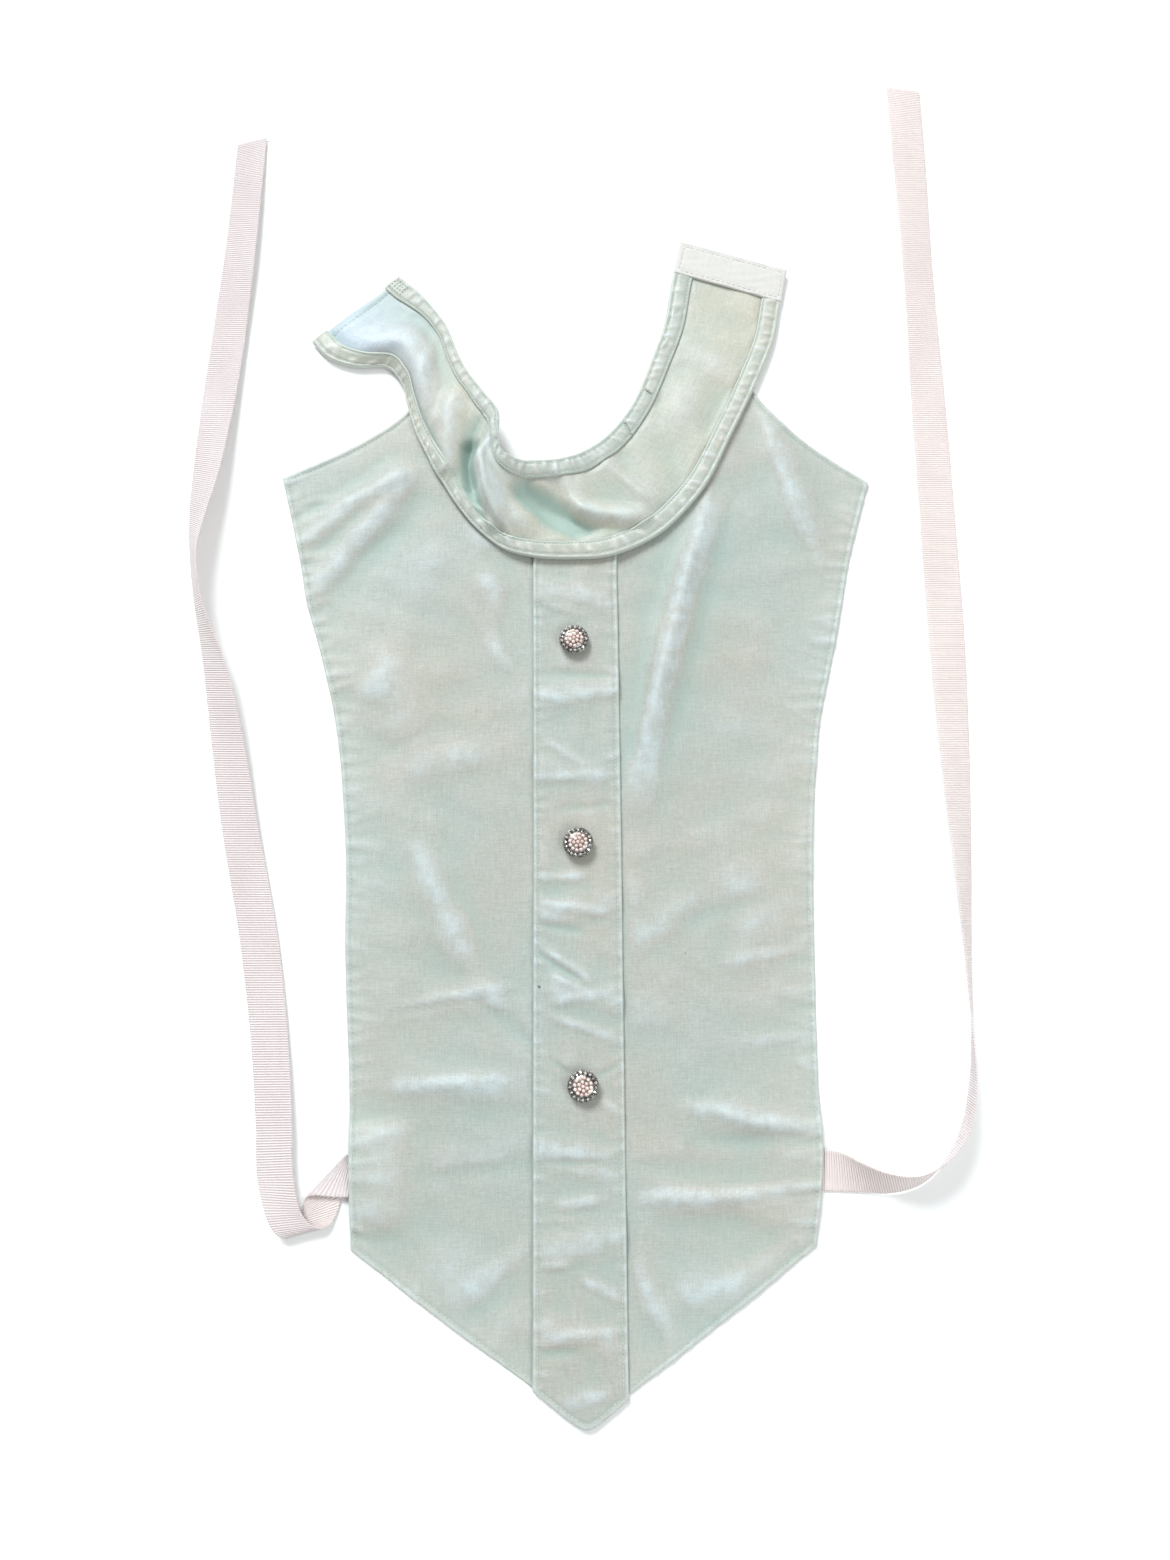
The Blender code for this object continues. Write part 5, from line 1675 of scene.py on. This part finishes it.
def ball(radius, sides, rings, squash=1.0):
    """Points and faces of a small bead."""
    profile = []
    for i in range(rings + 1):
        angle = -math.pi / 2 + math.pi * i / rings
        profile.append((radius * math.cos(angle), radius * math.sin(angle) * squash))
    return lathe(profile, sides)


def gem(radius, height, sides):
    """A brilliant-cut stone: a girdle, slanting facets and a flat table."""
    return lathe([(out * radius, up * height) for _, out, up in GEM_PROFILE], sides)


def ring_place(x, y, radius, angle):
    """A place on a ring round a button's middle."""
    return x + radius * math.cos(angle), y + radius * math.sin(angle)


def joined(name, parts, material, smooth_shade=True):
    """Several small forms as one named object of a button."""
    points = []
    faces = []
    for form_points, form_faces in parts:
        faces += [tuple(len(points) + v for v in face) for face in form_faces]
        points += form_points
    piece = finish_mesh(name, points, faces, [material], smooth_shade)
    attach(piece, "root")
    return piece


def placed(form, x, y, z, tilt=0.0, heading=0.0, stretch=1.0):
    """A small form tilted outwards, turned to its heading and moved to its place."""
    points = []
    for px, py, pz in form[0]:
        py = py * stretch
        sx = px * math.cos(tilt) + pz * math.sin(tilt)
        sz = -px * math.sin(tilt) + pz * math.cos(tilt)
        points.append((
            x + sx * math.cos(heading) - py * math.sin(heading),
            y + sx * math.sin(heading) + py * math.cos(heading),
            z + sz,
        ))
    return points, form[1]


def build_button(name, x, y, turn, looks):
    """A domed metal button set with pearls and a ring of stones held by claws."""
    metal, pearl, stone = looks
    profile = [tuple(row) for row in columns(BUTTON_PROFILE)]
    parts = [placed(lathe(profile, BUTTON_STEPS), x, y, BUTTON_BASE)]
    forms = {"bead": ball(*BEAD), "claw": ball(*CLAW)}
    for k in range(STONE_COUNT):
        angle = turn + 2 * math.pi * (k + 0.5) / STONE_COUNT
        for form, radius, height in CLAW_RINGS:
            there = ring_place(x, y, radius, angle)
            parts.append(placed(forms[form], *there, BUTTON_BASE + height, CLAW_TILT, angle))
    for k in range(RIM_BEADS):
        angle = turn + 2 * math.pi * k / RIM_BEADS
        there = ring_place(x, y, RIM_RING, angle)
        parts.append(placed(forms["bead"], *there, BUTTON_BASE + RIM_HEIGHT, 0.0, angle))
    body = joined(name + "_setting", parts, metal)
    parts = []
    for count, radius, height, first in PEARL_RINGS:
        for k in range(count):
            there = ring_place(x, y, radius, turn + first + 2 * math.pi * k / count)
            parts.append(placed(ball(*PEARL), *there, BUTTON_BASE + height))
    joined(name + "_pearls", parts, pearl)
    parts = []
    chance = np.random.default_rng(int(100 + turn * 100))
    for k in range(STONE_COUNT):
        angle = turn + 2 * math.pi * k / STONE_COUNT
        there = ring_place(x, y, STONE_RING, angle)
        tilt = STONE_TILT + chance.uniform(-STONE_SWAY, STONE_SWAY)
        long = chance.uniform(*STONE_STRETCH)
        parts.append(placed(gem(*STONE), *there, BUTTON_BASE + STONE_HEIGHT, tilt, angle, long))
    joined(name + "_stones", parts, stone, False)
    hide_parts(name)


# Stage


def build_stage():
    """Camera, soft light from the upper left and a pale floor."""
    scene = bpy.context.scene
    lens = bpy.data.cameras.new("camera")
    lens.lens = CAMERA_LENS
    lens.sensor_width = CAMERA_SENSOR
    lens.clip_start, lens.clip_end = CAMERA_CLIP
    camera = bpy.data.objects.new("camera", lens)
    camera.location = CAMERA_PLACE
    camera.rotation_euler = CAMERA_TURN
    scene.collection.objects.link(camera)
    scene.camera = camera
    scene.view_settings.view_transform = "Standard"
    for name, x, y, z, width, power, red, green, blue in LIGHTS:
        lamp = bpy.data.lights.new(name, "AREA")
        lamp.shape = "DISK"
        lamp.size = width
        lamp.energy = power
        lamp.color = (red, green, blue)
        light = bpy.data.objects.new(name, lamp)
        light.location = (x, y, z)
        aim = Vector(LIGHT_TARGET) - light.location
        light.rotation_euler = aim.to_track_quat("-Z", "Y").to_euler()
        scene.collection.objects.link(light)
    sky = bpy.data.worlds.new("sky")
    sky.use_nodes = True
    back = sky.node_tree.nodes["Background"]
    back.inputs["Color"].default_value = (*SKY_COLOUR, 1.0)
    back.inputs["Strength"].default_value = SKY_STRENGTH
    scene.world = sky
    half = FLOOR_SIZE / 2 / MM
    corners = [(-half, -half, 0.0), (half, -half, 0.0), (half, half, 0.0), (-half, half, 0.0)]
    floor = finish_mesh("floor", corners, [(0, 1, 2, 3)], [grained_look("floor_paper")])
    floor.location.z = FLOOR_HEIGHT


def main():
    """Build the stage and every piece, attach each piece to the root and hide its part from
    model.glb.
    """
    build_stage()
    cloth = cloth_look("mint_sateen", FRONT_SPECKS)
    strip = cloth_look("placket_sateen", PLACKET_SPECKS)
    band = cloth_look("collar_sateen", (), COLLAR_COOL_END)
    bias = cloth_look("binding_sateen")
    tape = tape_look("loop_tape")
    pink = ribbon_look("grosgrain", (0.87, 0.765, 0.735), (0.80, 0.69, 0.66), TIE_SPECKS)
    # painted shade: the ribbons' undersides get a darker, more mauve copy of the grosgrain
    mauve = ribbon_look("grosgrain_reverse_shaded", (0.80, 0.715, 0.705), (0.73, 0.635, 0.63))
    thread = grained_look("thread")
    pale = grained_look("pale_thread")

    front, front_sewing, front_area = build_front(cloth, thread)
    placket, placket_sewing = build_placket(strip, thread)
    collar = build_band(band)
    seam_binding, seam_rows = build_binding("seam_binding_cloth", 0.0, SEAM_TUCKS, bias)
    neck_binding, neck_rows = build_binding("neck_binding_cloth", 1.0, NECK_TUCKS, bias)
    closure, tape_rows = build_tape(tape)
    collar_sewing = build_stitches("collar_stitches", seam_rows + neck_rows + end_seams(), thread)
    tape_sewing = build_stitches("tape_stitches", tape_rows, pale)
    left, left_length = build_tie("ribbon_left", LEFT_TIE_ROWS, [pink, mauve])
    right, right_length = build_tie("ribbon_right", RIGHT_TIE_ROWS, [pink, mauve])
    looks = [grained_look(name) for name in ("antique_silver", "pearl", "stones")]
    for name, x, y, turn in BUTTONS:
        build_button(name, x, y, turn, looks)

    riders = (
        # piece, node, slot
        (front, "front", "cloth"),
        (placket, "placket", "cloth"),
        (collar, "collar_band", "cloth"),
        (seam_binding, "collar_seam_binding", "binding"),
        (neck_binding, "collar_neck_binding", "binding"),
        (closure, "closure_tape", "tape"),
        (left, "tie_left", "ribbon"),
        (right, "tie_right", "ribbon"),
    )
    for piece, node, slot in riders:
        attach(piece, "root")
        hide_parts(node)


main()
